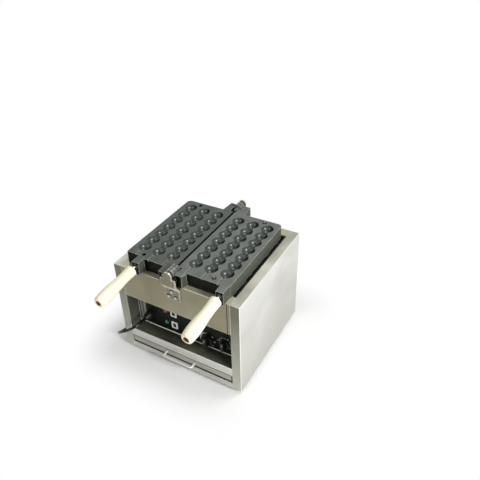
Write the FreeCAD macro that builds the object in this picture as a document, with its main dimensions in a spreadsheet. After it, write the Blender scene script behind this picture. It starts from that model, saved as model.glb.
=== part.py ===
import FreeCAD, Part
import math
import os

import Sketcher
from FreeCAD import Placement, Rotation, Vector

doc = FreeCAD.newDocument("SkewerWaffleMaker")
sheet = doc.addObject("Spreadsheet::Sheet", "Sizes")
parts = []


class Length:
    """A size that knows both its spreadsheet formula and its present value."""

    def __init__(self, formula, value):
        self.formula = formula
        self.value = value

    def joined(self, other, sign, value):
        text = other.formula if isinstance(other, Length) else repr(float(other))
        return Length(f"({self.formula} {sign} {text})", value)

    def __add__(self, other):
        return self.joined(other, "+", self.value + number(other))

    def __sub__(self, other):
        return self.joined(other, "-", self.value - number(other))

    def __mul__(self, other):
        return self.joined(other, "*", self.value * number(other))

    def __truediv__(self, other):
        return self.joined(other, "/", self.value / number(other))

    def __neg__(self):
        return Length(f"(-1 * {self.formula})", -self.value)


def number(size):
    return size.value if isinstance(size, Length) else float(size)


def bind(thing, prop, size):
    """Tie one property of an object to a formula of the sheet."""
    if isinstance(size, Length):
        thing.setExpression(prop, size.formula)


def size(name, value, note):
    """One driving dimension, in its own row of the sheet."""
    row = size.row = getattr(size, "row", 0) + 1
    sheet.set(f"A{row}", name)
    sheet.set(f"B{row}", str(value))
    sheet.set(f"C{row}", note)
    sheet.setAlias(f"B{row}", name)
    return Length(f"Sizes.{name}", float(value))


# ---------------------------------------------------------------- driving sizes

cabinet_width = size("cabinet_width", 352, "across the outside of the side panels")
cabinet_depth = size("cabinet_depth", 328, "front face to rear face")
cabinet_height = size("cabinet_height", 270, "underside of the case to the deck")
foot_height = size("foot_height", 8, "rubber feet under the case")
foot_radius = size("foot_radius", 11, "rubber feet")
foot_inset = size("foot_inset", 30, "foot centre in from the front, rear and column edge")
sheet_thickness = size("sheet_thickness", 1.2, "stainless sheet")
return_flange = size("return_flange", 24, "width of the columns and of the side deck strips")
bend_radius = size("bend_radius", 2, "outside bends of the side panels")
panel_bend = size("panel_bend", 1.2, "outside bends of the front panels")
seam_gap = size("seam_gap", 0.3, "between neighbouring sheets")
seat_gap = size("seat_gap", 0.1, "under parts that sit on a sheet and round parts that snap into one")
slide_gap = size("slide_gap", 0.4, "between bodies that move past each other")
deck_strip = size("deck_strip", 28, "depth of the front and rear deck strips")
front_panel_height = size("front_panel_height", 90, "upper front panel")
panel_lip = size("panel_lip", 10, "turned lips behind the panels")
floor_level = size("floor_level", 66, "floor of the front bay")
rail_low = size("rail_low", 42, "lower edge of the rail under the bay")
bay_depth = size("bay_depth", 38, "front face to the control panel")
floor_tail = size("floor_tail", 22, "bay floor behind the control panel")
wall_overlap = size("wall_overlap", 18, "bay's rear wall and control panel behind the upper front panel")
base_strip = size("base_strip", 17, "front flange of the bottom pan")
pan_rear_lip = size("pan_rear_lip", 12, "rear flange of the bottom pan")
vent_wing = size("vent_wing", 29, "width of the vented wall beside the control panel")
vent_length = size("vent_length", 8, "each slot of the vented wall")
vent_height = size("vent_height", 2.4, "each slot of the vented wall")
vent_pitch = size("vent_pitch", 5.4, "slot to slot, upwards")
vent_count = size("vent_count", 14, "slots in a column")
vent_low = size("vent_low", 76, "lowest slot")
rear_vent_width = size("rear_vent_width", 5, "each slot of the rear panel")
rear_vent_height = size("rear_vent_height", 60, "each slot of the rear panel")
rear_vent_pitch = size("rear_vent_pitch", 16, "slot to slot")
rear_vent_count = size("rear_vent_count", 12, "slots in the rear panel")
rear_vent_low = size("rear_vent_low", 70, "lower end of the rear slots")

panel_thickness = size("panel_thickness", 1.5, "control panel")
row_low = size("row_low", 94, "lower lamp and switch")
row_high = size("row_high", 133, "upper lamp and switch")
lamp_inset = size("lamp_inset", 114, "lamps from the left side")
lamp_radius = size("lamp_radius", 5, "lamp body through the panel")
lamp_bezel = size("lamp_bezel", 6.5, "lamp rim")
lamp_rim = size("lamp_rim", 1.6, "thickness of the lamp rim")
lamp_stand = size("lamp_stand", 4.4, "top of the lens in front of the panel")
lamp_dome = size("lamp_dome", 7.5, "radius of the lens's dome")
switch_inset = size("switch_inset", 139, "switches from the left side")
switch_width = size("switch_width", 13, "rocker opening")
switch_height = size("switch_height", 16, "rocker opening")
switch_rim = size("switch_rim", 2.6, "white rim round the rocker")
switch_corner = size("switch_corner", 2.3, "rounded corners of the rim")
switch_depth = size("switch_depth", 18, "switch body behind the panel")
switch_wall = size("switch_wall", 1.5, "wall round the rocker's well")
rocker_pivot = size("rocker_pivot", 1.2, "radius of a rocker's pivots")
rocker_pivot_length = size("rocker_pivot_length", 1, "rocker's pivots")
rocker_room = size("rocker_room", 1, "free space over and under the rocker")
rocker_dish = size("rocker_dish", 1.2, "how deep the rocker's two faces meet")
rocker_proud = size("rocker_proud", 0.6, "rocker's ends in front of the rim")
rocker_depth = size("rocker_depth", 6, "rocker behind the panel's face")
rocker_side = size("rocker_side", 3.6, "full height of the rocker behind the panel's face")
rocker_heel = size("rocker_heel", 1.7, "half height of the rocker's heel")
rim_stand = size("rim_stand", 2, "rim in front of the panel")
rocker_tilt = size("rocker_tilt", 8, "rocker to each side of level")
dial_inset = size("dial_inset", 114, "thermostat from the right side")
dial_up = size("dial_up", 90, "thermostat, above the case's underside")
dial_radius = size("dial_radius", 23.5, "scale plate of the thermostat")
dial_thickness = size("dial_thickness", 0.8, "scale plates")
timer_inset = size("timer_inset", 64, "timer from the right side")
timer_up = size("timer_up", 100, "timer, above the case's underside")
timer_plate = size("timer_plate", 23, "scale plate of the timer")
knob_radius = size("knob_radius", 17, "thermostat knob's skirt")
timer_knob_radius = size("timer_knob_radius", 15, "timer knob's skirt")
knob_height = size("knob_height", 17, "knobs")
knob_skirt = size("knob_skirt", 5, "thickness of a knob's skirt")
knob_grip = size("knob_grip", 4.5, "half thickness of a knob's bar")
knob_bar_share = size("knob_bar_share", 0.86, "half length of the bar, in skirt radii")
knob_edge = size("knob_edge", 1.1, "chamfer round the bar")
knob_wall = size("knob_wall", 2.5, "knob in front of the spindle's end")
spindle_radius = size("spindle_radius", 3, "spindles")
spindle_hole = size("spindle_hole", 0.06, "running clearance of the spindles")
spindle_room = size("spindle_room", 4, "radius of the spindles' holes in the panel and scale plates")
control_width = size("control_width", 34, "thermostat and timer bodies")
control_depth = size("control_depth", 26, "thermostat and timer bodies")
terminal_inset = size("terminal_inset", 106, "terminal block from the left side")
terminal_back = size("terminal_back", 50, "terminal block from the front face")
terminal_half = size("terminal_half", 30, "half length of the terminal block")
terminal_depth = size("terminal_depth", 18, "terminal block, front to back")
terminal_height = size("terminal_height", 12, "terminal block")
terminal_count = size("terminal_count", 6, "terminals in a row")
terminal_pitch = size("terminal_pitch", 10, "terminal to terminal")
terminal_row = size("terminal_row", 5, "rows off the block's middle")
terminal_well = size("terminal_well", 2.4, "radius of a terminal's well")
terminal_well_depth = size("terminal_well_depth", 5, "depth of a terminal's well")

plate_inset = size("plate_inset", 33, "outer edge of a plate from the side of the case")
plate_gap = size("plate_gap", 3.6, "between the open plates")
plate_front = size("plate_front", 14, "front edge of a plate, from the front face")
plate_corner_front = size("plate_corner_front", 21, "front edge outside the lug")
plate_rear_margin = size("plate_rear_margin", 34, "rear edge of a plate from the rear face")
plate_rise = size("plate_rise", 35, "hinge line above the deck")
plate_skin = size("plate_skin", 8, "thickness of the cooking face")
plate_wall = size("plate_wall", 6, "skirt round the underside")
plate_corner = size("plate_corner", 12, "rounded outer rear corner")
face_gap = size("face_gap", 0.3, "between the cooking faces when closed")
ball_radius = size("ball_radius", 16.4, "ball cavities")
ball_wall = size("ball_wall", 4, "metal under a cavity")
ball_last_margin = size("ball_last_margin", 33.8, "last cavity from the plate's rear edge")
ball_first = size("ball_first", 55.6, "first cavity from the front face")
ball_count = size("ball_count", 7, "cavities in a row")
row_first = size("row_first", 31.9, "innermost row from the hinge line")
row_last_margin = size("row_last_margin", 27.5, "outermost row from the plate's outer edge")
row_count = size("row_count", 3, "rows in a plate")
neck_radius = size("neck_radius", 9, "channel that joins the balls")
stick_radius = size("stick_radius", 2.6, "channel for the stick")
lug_left_inset = size("lug_left_inset", 45.5, "left handle from the plate's outer edge")
lug_right_inset = size("lug_right_inset", 11.5, "right handle from the plate's outer edge")
lug_width = size("lug_width", 19, "handle lugs")
lug_front = size("lug_front", 8, "lugs in front of the front face")
block_width = size("block_width", 29.5, "hinge blocks, from the hinge line")
block_left_front = size("block_left_front", 8, "left plate's front block in front of the front face")
block_right_front = size("block_right_front", 3, "right plate's front block in front of the front face")
block_flare = size("block_flare", 3, "hinge block's wider root")

axle_radius = size("axle_radius", 4, "hinge axle")
running_gap = size("running_gap", 0.08, "knuckle bore over the axle")
press_gap = size("press_gap", 0.02, "fixed pins in their holes")
knuckle_radius = size("knuckle_radius", 11, "hinge knuckles")
knuckle_width = size("knuckle_width", 8.8, "each knuckle along the hinge line")
knuckle_gap = size("knuckle_gap", 1.5, "between neighbouring knuckles")
knuckle_first = size("knuckle_first", 8, "first knuckle in front of the front face")
knuckle_last = size("knuckle_last", 5, "last knuckle behind the rear face")
knuckle_room = size("knuckle_room", 2.5, "free space beside the knuckles")
tongue_length = size("tongue_length", 6, "knuckle's tongue in its block")
tongue_height = size("tongue_height", 6, "knuckle's tongue")
recess_front_margin = size("recess_front_margin", 26, "end of the front recess from the front face")
recess_rear_margin = size("recess_rear_margin", 35, "start of the rear recess from the rear face")
pin_side = size("pin_side", 5.5, "right plate's edge beside the bare rear pin, from the hinge line")
pin_bare = size("pin_bare", 14, "rear pin beyond its last knuckle")

bracket_half = size("bracket_half", 20, "half width of a hinge bracket")
bracket_drop = size("bracket_drop", 44, "lower edge of a bracket below the deck")
bracket_leg = size("bracket_leg", 4, "thickness of the bracket's foot")
bracket_plate = size("bracket_plate", 4, "thickness of the bracket's head")
bracket_stand = size("bracket_stand", 13, "head in front of the cabinet face")
bracket_step = size("bracket_step", 19, "height of the step between foot and head")
bracket_leg_drop = size("bracket_leg_drop", 12, "top of the bracket's foot below the deck")
shoulder_drop = size("shoulder_drop", 8.5, "shoulders below the hinge line")
head_radius = size("head_radius", 10.8, "round head of a bracket")
axle_seat = size("axle_seat", 2.6, "depth of the axle's seat in a head")
screw_radius = size("screw_radius", 2, "machine screws")
screw_head = size("screw_head", 3.6, "machine screw heads")
screw_head_height = size("screw_head_height", 2.4, "machine screw heads")
screw_side = size("screw_side", 9.5, "lower bracket screws off the middle")
screw_upper_drop = size("screw_upper_drop", 19, "upper bracket screw below the deck")
screw_lower_drop = size("screw_lower_drop", 34, "lower bracket screws below the deck")
screw_hole = size("screw_hole", 0.3, "clearance of the screw holes")
screw_run = size("screw_run", 4, "bracket screws behind the sheet")

pin_radius = size("pin_radius", 3, "locating pins")
pin_height = size("pin_height", 7, "locating pins above the face")
pin_straight = size("pin_straight", 3.2, "straight part of a locating pin above the face")
pin_tip = size("pin_tip", 1.7, "radius at the tip of a locating pin")
pin_seat = size("pin_seat", 6, "locating pins in their bores")
pin_room = size("pin_room", 1.4, "locating hole round a pin")
pin_inset = size("pin_inset", 45.5, "pins from the plate's outer edge")
pin_front_margin = size("pin_front_margin", 28, "front pin from the front face")
pin_rear_margin = size("pin_rear_margin", 46, "rear pin from the rear face")

rod_radius = size("rod_radius", 4.5, "handle rods")
rod_drop = size("rod_drop", 12, "rods below the hinge line")
rod_in_lug = size("rod_in_lug", 22, "rod inside its lug")
rod_bare = size("rod_bare", 14, "rod between the lug and the grip")
handle_droop = size("handle_droop", 5, "degrees that the handles fall to the front")
grip_length = size("grip_length", 118, "wooden grip")
grip_root = size("grip_root", 14.2, "radius at the rod end")
grip_waist = size("grip_waist", 12.8, "radius at the waist")
grip_waist_at = size("grip_waist_at", 30, "waist from the rod end")
grip_belly = size("grip_belly", 15.6, "radius at the belly")
grip_belly_at = size("grip_belly_at", 88, "belly from the rod end")
grip_edge = size("grip_edge", 1.6, "rounded edge at the rod end")
grip_tip = size("grip_tip", 13.2, "radius at the hand end before rounding")
grip_round = size("grip_round", 5.5, "rounded hand end")
grip_well = size("grip_well", 6.4, "radius of the nut's well")
grip_well_depth = size("grip_well_depth", 16, "depth of the nut's well")
grip_bore = size("grip_bore", 0.2, "bore over the rod")
nut_corner = size("nut_corner", 5.6, "nut, middle to corner")
thread_radius = size("thread_radius", 3, "threaded end of the rod")
nut_height = size("nut_height", 7, "nut at the end of the rod")
thread_end = size("thread_end", 2, "thread beyond the nut")

element_radius = size("element_radius", 3.5, "tubular heater")
element_drop = size("element_drop", 18, "heater's centre line below the deck")
element_inner = size("element_inner", 19, "first leg from the hinge line")
element_outer = size("element_outer", 19, "last leg from the plate's outer edge")
element_front_margin = size("element_front_margin", 62, "front bends of the heater from the front face")
element_rear_margin = size("element_rear_margin", 66, "rear bends of the heater from the rear face")
element_end = size("element_end", 16, "cold ends of the heater")
element_bend_share = size("element_bend_share", 0.45, "bends of the heater, in leg pitches")
tray_wall = size("tray_wall", 1, "reflector tray")
tray_room = size("tray_room", 4, "inside of the reflector tray beyond the plates' outer edge")
tray_front_margin = size("tray_front_margin", 31, "reflector tray's front from the front face")
tray_rear_margin = size("tray_rear_margin", 31, "reflector tray's rear from the rear face")
tray_depth = size("tray_depth", 64, "reflector tray's floor below the deck")
tray_rim = size("tray_rim", 12, "rims that hang the tray from the deck")
rest_width = size("rest_width", 12, "bars under the heaters")
rest_height = size("rest_height", 3, "bars under the heaters")
rest_front_margin = size("rest_front_margin", 100, "front bar from the front face")
rest_rear_margin = size("rest_rear_margin", 103, "rear bar from the rear face")

drawer_low = size("drawer_low", 18, "lower edge of the drawer front")
drawer_high = size("drawer_high", 41, "upper edge of the drawer front")
drawer_wall = size("drawer_wall", 1, "drawer tray's sheet")
drawer_side_room = size("drawer_side_room", 13.7, "beside the drawer tray, up to the columns")
drawer_rear_room = size("drawer_rear_room", 43, "drawer tray shorter than the case")
drawer_side = size("drawer_side", 17, "height of the drawer tray")
pull_half = size("pull_half", 42.5, "drawer pull, middle to leg")
pull_reach = size("pull_reach", 17, "drawer pull in front of the drawer")
pull_radius = size("pull_radius", 2.6, "drawer pull's wire")
pull_bend = size("pull_bend", 6, "drawer pull's bends")
pull_level = size("pull_level", 30, "height of the drawer pull")
runner_thickness = size("runner_thickness", 1.2, "drawer runners")
runner_shelf = size("runner_shelf", 9, "drawer runner's shelf")
runner_height = size("runner_height", 14, "drawer runner's wall")

cord_radius = size("cord_radius", 3.5, "mains lead")
gland_inset = size("gland_inset", 62, "cable gland from the left side")
gland_up = size("gland_up", 102, "cable gland above the case's underside")
gland_radius = size("gland_radius", 10.5, "gland's collar")
gland_thread = size("gland_thread", 8, "gland through the panel")
gland_nose = size("gland_nose", 5.4, "gland's tapered end")
gland_collar = size("gland_collar", 9.6, "length of the gland's collar")
gland_tail = size("gland_tail", 12, "gland behind the panel's face")
gland_length = size("gland_length", 24, "gland in front of the panel")
coil_aside = size("coil_aside", 62, "put-away coil beside the case")
coil_back = size("coil_back", 226, "put-away coil from the front face")
coil_outer = size("coil_outer", 49.4, "coil's outside")
coil_inner = size("coil_inner", 34.6, "coil's hole")
coil_height = size("coil_height", 14.4, "coil's two layers")
plug_face = size("plug_face", 18.5, "plug's front")
plug_waist = size("plug_waist", 12.5, "plug's grip")
plug_length = size("plug_length", 38, "plug's body")
plug_tail = size("plug_tail", 28, "plug's strain relief")
plug_straight = size("plug_straight", 9, "straight end of the lead before the plug")
boot_root = size("boot_root", 4.5, "strain relief's radius at the lead")
boot_radius = size("boot_radius", 7, "strain relief's radius at the plug")
boot_length = size("boot_length", 22.5, "tapered part of the strain relief")
plug_grip = size("plug_grip", 21, "length of the plug's grip")
plug_flare = size("plug_flare", 28.5, "start of the plug's full face")
plug_back = size("plug_back", 276, "plug's tail from the front face")
plug_aside = size("plug_aside", 28, "plug beside the case")
contact_radius = size("contact_radius", 2.4, "plug pins")
contact_length = size("contact_length", 19, "plug pins")
contact_pitch = size("contact_pitch", 19, "plug pins")
doc.recompute()

half = cabinet_width / 2
inner_half = half - return_flange - seam_gap
front_panel_low = cabinet_height - front_panel_height
wall_top = front_panel_low + wall_overlap
lamp_across = -half + lamp_inset
switch_across = -half + switch_inset
gland_across = -half + gland_inset
terminal_across = -half + terminal_inset
dial_across = half - dial_inset
timer_across = half - timer_inset
bracket_low = cabinet_height - bracket_drop
bracket_leg_top = cabinet_height - bracket_leg_drop
screw_upper = cabinet_height - screw_upper_drop
screw_lower = cabinet_height - screw_lower_drop
plate_half = half - plate_inset
plate_rear = cabinet_depth - plate_rear_margin
ball_pitch = (plate_rear - ball_last_margin - ball_first) / (ball_count - 1)
row_pitch = (plate_half - row_last_margin - row_first) / (row_count - 1)
lug_left_at = plate_half - lug_left_inset
lug_right_at = plate_half - lug_right_inset
recess_rear = cabinet_depth - recess_rear_margin
pin_across = plate_half - pin_inset
pin_rear = cabinet_depth - pin_rear_margin
element_level = cabinet_height - element_drop
element_pitch = (plate_half - element_outer - element_inner) / 3
element_rear = cabinet_depth - element_rear_margin
tray_half = plate_half + tray_room
tray_low = cabinet_height - tray_depth
tray_rear = cabinet_depth - tray_rear_margin
rest_rear = cabinet_depth - rest_rear_margin
drawer_half = inner_half - drawer_side_room
drawer_depth = cabinet_depth - drawer_rear_room
coil_across = -half - coil_aside
plug_across = -half - plug_aside
hinge_level = cabinet_height + plate_rise
face_level = hinge_level - face_gap / 2
plate_low = cabinet_height + slide_gap
knuckle_pitch = knuckle_width + knuckle_gap
block_start = knuckle_radius + knuckle_room
rear_end = cabinet_depth + knuckle_last
panel_face = bay_depth
ground = -foot_height
past = 1.0  # cutters run this far past the metal


# ---------------------------------------------------------------- helpers


def axis_plane(body, role):
    return next(f for f in body.Origin.OriginFeatures if f.Role == role)


def new_sketch(body, role, name, level=0.0, across=0.0, up=0.0, turn=0.0):
    """A sketch on one of the body's own planes, moved to a level and, where asked, across, up and tipped."""
    sketch = body.newObject("Sketcher::SketchObject", name)
    sketch.AttachmentSupport = [(axis_plane(body, role), "")]
    sketch.MapMode = "FlatFace"
    out = -level if role == "XZ_Plane" else level
    where = Vector(number(across), number(up), number(out))
    sketch.AttachmentOffset = Placement(where, Rotation(Vector(1, 0, 0), number(turn)))
    for prop, amount in (("Base.x", across), ("Base.y", up), ("Base.z", out), ("Rotation.Angle", turn)):
        bind(sketch, f"AttachmentOffset.{prop}", amount)
    return sketch


def fix_point(sketch, geometry, corner, point):
    """Hold one point of a sketch at its distances from the origin."""
    for kind, away in (("DistanceX", point[0]), ("DistanceY", point[1])):
        index = sketch.addConstraint(Sketcher.Constraint(kind, -1, 1, geometry, corner, number(away)))
        bind(sketch, f"Constraints[{index}]", away)


def round_off(sketch, arc, chord, point):
    """Size an arc: a half circle by its centre's place on the chord, any other by its radius."""
    if abs(chord.Length - 2 * number(point[2])) > 1e-6:
        kind, corner, away = "Radius", None, point[2]
    elif abs(chord.y) < 1e-6:
        kind, corner, away = "DistanceY", 3, point[1]
    else:
        kind, corner, away = "DistanceX", 3, point[0]
    where = (arc,) if corner is None else (-1, 1, arc, corner)
    index = sketch.addConstraint(Sketcher.Constraint(kind, *where, number(away)))
    bind(sketch, f"Constraints[{index}]", away)


def add_loop(sketch, points):
    """A closed outline of straight edges; a point with four values starts an arc: radius, bulge."""
    first = sketch.GeometryCount
    count = len(points)
    flat = [Vector(number(p[0]), number(p[1]), 0) for p in points]
    for i, point in enumerate(points):
        start, end = flat[i], flat[(i + 1) % count]
        if len(point) == 2:
            sketch.addGeometry(Part.LineSegment(start, end), False)
            continue
        radius, bulge = number(point[2]), point[3]
        middle = (start + end) / 2
        chord = end - start
        side = Vector(chord.y, -chord.x, 0).normalize()
        reach = math.sqrt(max(radius**2 - chord.Length**2 / 4, 0))
        rise = radius - reach if abs(bulge) == 1 else radius + reach
        top = middle + side * math.copysign(rise, bulge)
        if bulge < 0:
            start, end = end, start
        sketch.addGeometry(Part.Arc(start, top, end), False)
    for i, point in enumerate(points):
        this, following = first + i, first + (i + 1) % count
        turned = len(point) == 4 and point[3] < 0
        next_turned = len(points[(i + 1) % count]) == 4 and points[(i + 1) % count][3] < 0
        head = 1 if turned else 2
        tail = 2 if next_turned else 1
        sketch.addConstraint(Sketcher.Constraint("Coincident", this, head, following, tail))
    for i, point in enumerate(points):
        turned = len(point) == 4 and point[3] < 0
        fix_point(sketch, first + i, 2 if turned else 1, point[:2])
        if len(point) == 4:
            round_off(sketch, first + i, flat[(i + 1) % count] - flat[i], point)


def add_circle(sketch, centre, radius):
    where = Vector(number(centre[0]), number(centre[1]), 0)
    index = sketch.addGeometry(Part.Circle(where, Vector(0, 0, 1), number(radius)), False)
    fix_point(sketch, index, 3, centre)
    constraint = sketch.addConstraint(Sketcher.Constraint("Radius", index, number(radius)))
    bind(sketch, f"Constraints[{constraint}]", radius)


def drawn(body, role, name, level, loops=(), circles=(), **moved):
    sketch = new_sketch(body, role, name, level, **moved)
    for points in loops:
        add_loop(sketch, points)
    for centre, radius in circles:
        add_circle(sketch, centre, radius)
    return sketch


def rectangle(x_low, x_high, y_low, y_high):
    return [(x_low, y_low), (x_high, y_low), (x_high, y_high), (x_low, y_high)]


def new_body(name):
    return doc.addObject("PartDesign::Body", name)


def extrude(body, kind, sketch, length, backwards=False):
    """A Pad or Pocket of a sketch; its volume is checked when the model is complete."""
    feature = body.newObject(f"PartDesign::{kind}", f"{body.Name}_{kind}")
    feature.Profile = sketch
    feature.Length = number(length)
    bind(feature, "Length", length)
    feature.Reversed = backwards
    doc.recompute()
    checked(body, feature)
    return feature


def checked(body, feature):
    """A cut that removes nothing, or a failed feature, stops the build."""
    base = getattr(feature, "BaseFeature", None)
    if "Invalid" in feature.State or feature.Shape.isNull():
        raise RuntimeError(f"{feature.Name} failed")
    if base is not None and abs(base.Shape.Volume - feature.Shape.Volume) < 1e-3:
        raise RuntimeError(f"{feature.Name} changes nothing")


def pad_up(body, name, level, length, loops=(), circles=()):
    """Metal from a level upwards."""
    return extrude(body, "Pad", drawn(body, "XY_Plane", name, level, loops, circles), length)


def pad_back(body, name, level, length, loops=(), circles=()):
    """Metal from a level towards the rear."""
    return extrude(body, "Pad", drawn(body, "XZ_Plane", name, level, loops, circles), length, True)


def pad_right(body, name, level, length, loops=(), circles=()):
    """Metal from a level towards the right."""
    return extrude(body, "Pad", drawn(body, "YZ_Plane", name, level, loops, circles), length)


def cut_up(body, name, level, length, loops=(), circles=()):
    return extrude(body, "Pocket", drawn(body, "XY_Plane", name, level, loops, circles), length, True)


def cut_back(body, name, level, length, loops=(), circles=()):
    return extrude(body, "Pocket", drawn(body, "XZ_Plane", name, level, loops, circles), length, False)


def cut_right(body, name, level, length, loops=(), circles=()):
    return extrude(body, "Pocket", drawn(body, "YZ_Plane", name, level, loops, circles), length, True)


def spin(body, kind, sketch):
    """A full turn of a sketch about its own vertical axis."""
    feature = body.newObject(f"PartDesign::{kind}", f"{body.Name}_{kind}")
    feature.Profile = sketch
    feature.ReferenceAxis = (sketch, ["V_Axis"])
    feature.Angle = 360
    doc.recompute()
    checked(body, feature)
    return feature


def pattern(body, features, role, count, pitch, backwards=False):
    """Repeat features along one of the body's axes."""
    row = body.newObject("PartDesign::LinearPattern", f"{body.Name}_row")
    row.Originals = features
    row.Direction = (axis_plane(body, role), [""])
    row.Mode = "Spacing"
    row.Reversed = backwards
    row.Occurrences = int(number(count))
    row.Offset = number(pitch)
    bind(row, "Occurrences", count)
    bind(row, "Offset", pitch)
    body.Tip = row
    doc.recompute()
    checked(body, row)
    return row


def edges_where(shape, test):
    """Names of the edges whose middle and direction pass a test."""
    found = []
    for number_of, edge in enumerate(shape.Edges, 1):
        middle = edge.valueAt((edge.FirstParameter + edge.LastParameter) / 2)
        if test(middle, edge):
            found.append(f"Edge{number_of}")
    return found


def dress(body, kind, test, amount):
    """A Fillet or Chamfer on the edges that pass a test."""
    base = body.Tip
    feature = body.newObject(f"PartDesign::{kind}", f"{body.Name}_{kind}")
    feature.Base = (base, edges_where(base.Shape, test))
    prop = "Radius" if kind == "Fillet" else "Size"
    setattr(feature, prop, number(amount))
    bind(feature, prop, amount)
    doc.recompute()
    checked(body, feature)
    return feature


def near(a, b):
    return abs(a - number(b)) < 0.01


def tangent(angle):
    return Length(f"tan({angle.formula} * 1 deg)", math.tan(math.radians(angle.value)))


def arc_radius(along, across):
    """Radius of an arc that leaves an axis square on and is `across` away from it after `along`."""
    return (along * along + across * across) / (across * 2)


def place(thing, x=0.0, y=0.0, z=0.0, turn=0.0):
    """Put an object at a point of the cabinet's frame, tipped about X by some degrees."""
    where = Vector(number(x), number(y), number(z))
    thing.Placement = Placement(where, Rotation(Vector(1, 0, 0), number(turn)))
    for prop, along in (("x", x), ("y", y), ("z", z)):
        bind(thing, f"Placement.Base.{prop}", along)
    bind(thing, "Placement.Rotation.Angle", turn)


def finish(thing, label, x=0.0, y=0.0, z=0.0, turn=0.0):
    """Name a sub-part and move it from the cabinet's frame to the part's: origin on the table, mid depth."""
    thing.Label = label
    place(thing, x, -cabinet_depth / 2 + y, foot_height + z, turn)
    parts.append(thing)
    return thing


def box(name, x, y, z):
    """A block between pairs of low and high values."""
    block = doc.addObject("Part::Box", name)
    for prop, (low, high) in (("Length", x), ("Width", y), ("Height", z)):
        extent = high - low
        setattr(block, prop, number(extent))
        bind(block, prop, extent)
    place(block, x[0], y[0], z[0])
    return block


def rod(name, x, y, z, radius, length, axis="z"):
    """A cylinder that starts at a point and runs along an axis; "-y" runs to the front."""
    bar = doc.addObject("Part::Cylinder", name)
    bar.Radius = number(radius)
    bar.Height = number(length)
    bind(bar, "Radius", radius)
    bind(bar, "Height", length)
    turns = {"z": Rotation(), "y": Rotation(Vector(1, 0, 0), -90), "-y": Rotation(Vector(1, 0, 0), 90),
             "x": Rotation(Vector(0, 1, 0), 90)}
    bar.Placement = Placement(Vector(number(x), number(y), number(z)), turns[axis])
    for prop, where in (("x", x), ("y", y), ("z", z)):
        bind(bar, f"Placement.Base.{prop}", where)
    return bar


def joined(name, things):
    fused = doc.addObject("Part::MultiFuse", name)
    fused.Shapes = things
    fused.Refine = True
    return fused


def cut(name, base, tool):
    result = doc.addObject("Part::Cut", name)
    result.Base = base
    result.Tool = tool
    return result


def group(name, things):
    """Several separate solids under one name."""
    compound = doc.addObject("Part::Compound", name)
    compound.Links = things
    return compound


# ---------------------------------------------------------------- cabinet


def on_outer_bends(middle, edge):
    return near(abs(middle.x), half) and (near(middle.z, cabinet_height) or near(middle.y, 0.0))


def side_panel(label, side):
    """Folded side: wall, deck strip, base flange, front column and rear flange."""
    body = new_body(label)
    outer = half * side
    flange = (half - return_flange) * side
    inside = (half - sheet_thickness) * side
    roof = cabinet_height - sheet_thickness
    profile = [(flange, cabinet_height), (outer, cabinet_height), (outer, 0.0), (flange, 0.0),
               (flange, sheet_thickness), (inside, sheet_thickness), (inside, roof), (flange, roof)]
    pad_back(body, f"{label}_fold", 0.0, cabinet_depth, [profile])
    column = [(flange, 0.0), (outer, 0.0), (outer, cabinet_height), (flange, cabinet_height)]
    pad_back(body, f"{label}_column", 0.0, sheet_thickness, [column])
    pad_back(body, f"{label}_rear", cabinet_depth - sheet_thickness, sheet_thickness, [column])
    dress(body, "Fillet", on_outer_bends, bend_radius)
    return finish(body, label)


def front_panel():
    """Upper front with the front deck strip."""
    body = new_body("front_panel")
    roof = cabinet_height - sheet_thickness
    low = front_panel_low
    profile = [(0.0, low), (panel_lip, low), (panel_lip, low + sheet_thickness),
               (sheet_thickness, low + sheet_thickness), (sheet_thickness, roof),
               (deck_strip - sheet_thickness, roof), (deck_strip - sheet_thickness, roof - panel_lip),
               (deck_strip, roof - panel_lip), (deck_strip, cabinet_height), (0.0, cabinet_height)]
    pad_right(body, "front_panel_fold", -inner_half, inner_half * 2, [profile])
    holes = [(point, screw_radius + screw_hole) for point in bracket_holes()]
    cut_back(body, "front_panel_holes", 0.0, sheet_thickness, circles=holes)
    dress(body, "Fillet", lambda p, e: near(p.y, 0.0) and near(p.z, cabinet_height), panel_bend)
    return finish(body, "front_panel")


def bracket_holes():
    return [(Length("0", 0.0), screw_upper), (-screw_side, screw_lower), (screw_side, screw_lower)]


def rear_panel():
    """Rear wall with the rear deck strip and a row of vents."""
    body = new_body("rear_panel")
    back = cabinet_depth
    inside = cabinet_depth - sheet_thickness
    roof = cabinet_height - sheet_thickness
    strip = cabinet_depth - deck_strip
    profile = [(inside, 0.0), (back, 0.0), (back, cabinet_height), (strip, cabinet_height),
               (strip, roof - panel_lip), (strip + sheet_thickness, roof - panel_lip),
               (strip + sheet_thickness, roof), (inside, roof)]
    pad_right(body, "rear_panel_fold", -inner_half, inner_half * 2, [profile])
    holes = [(point, screw_radius + screw_hole) for point in bracket_holes()]
    cut_back(body, "rear_panel_holes", inside, sheet_thickness, circles=holes)
    first = rear_vent_pitch * (rear_vent_count - 1) / -2
    slot = rectangle(first - rear_vent_width / 2, first + rear_vent_width / 2,
                     rear_vent_low, rear_vent_low + rear_vent_height)
    vent = cut_back(body, "rear_panel_vent", inside, sheet_thickness, [slot])
    pattern(body, [vent], "X_Axis", rear_vent_count, rear_vent_pitch)
    return finish(body, "rear_panel")


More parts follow.
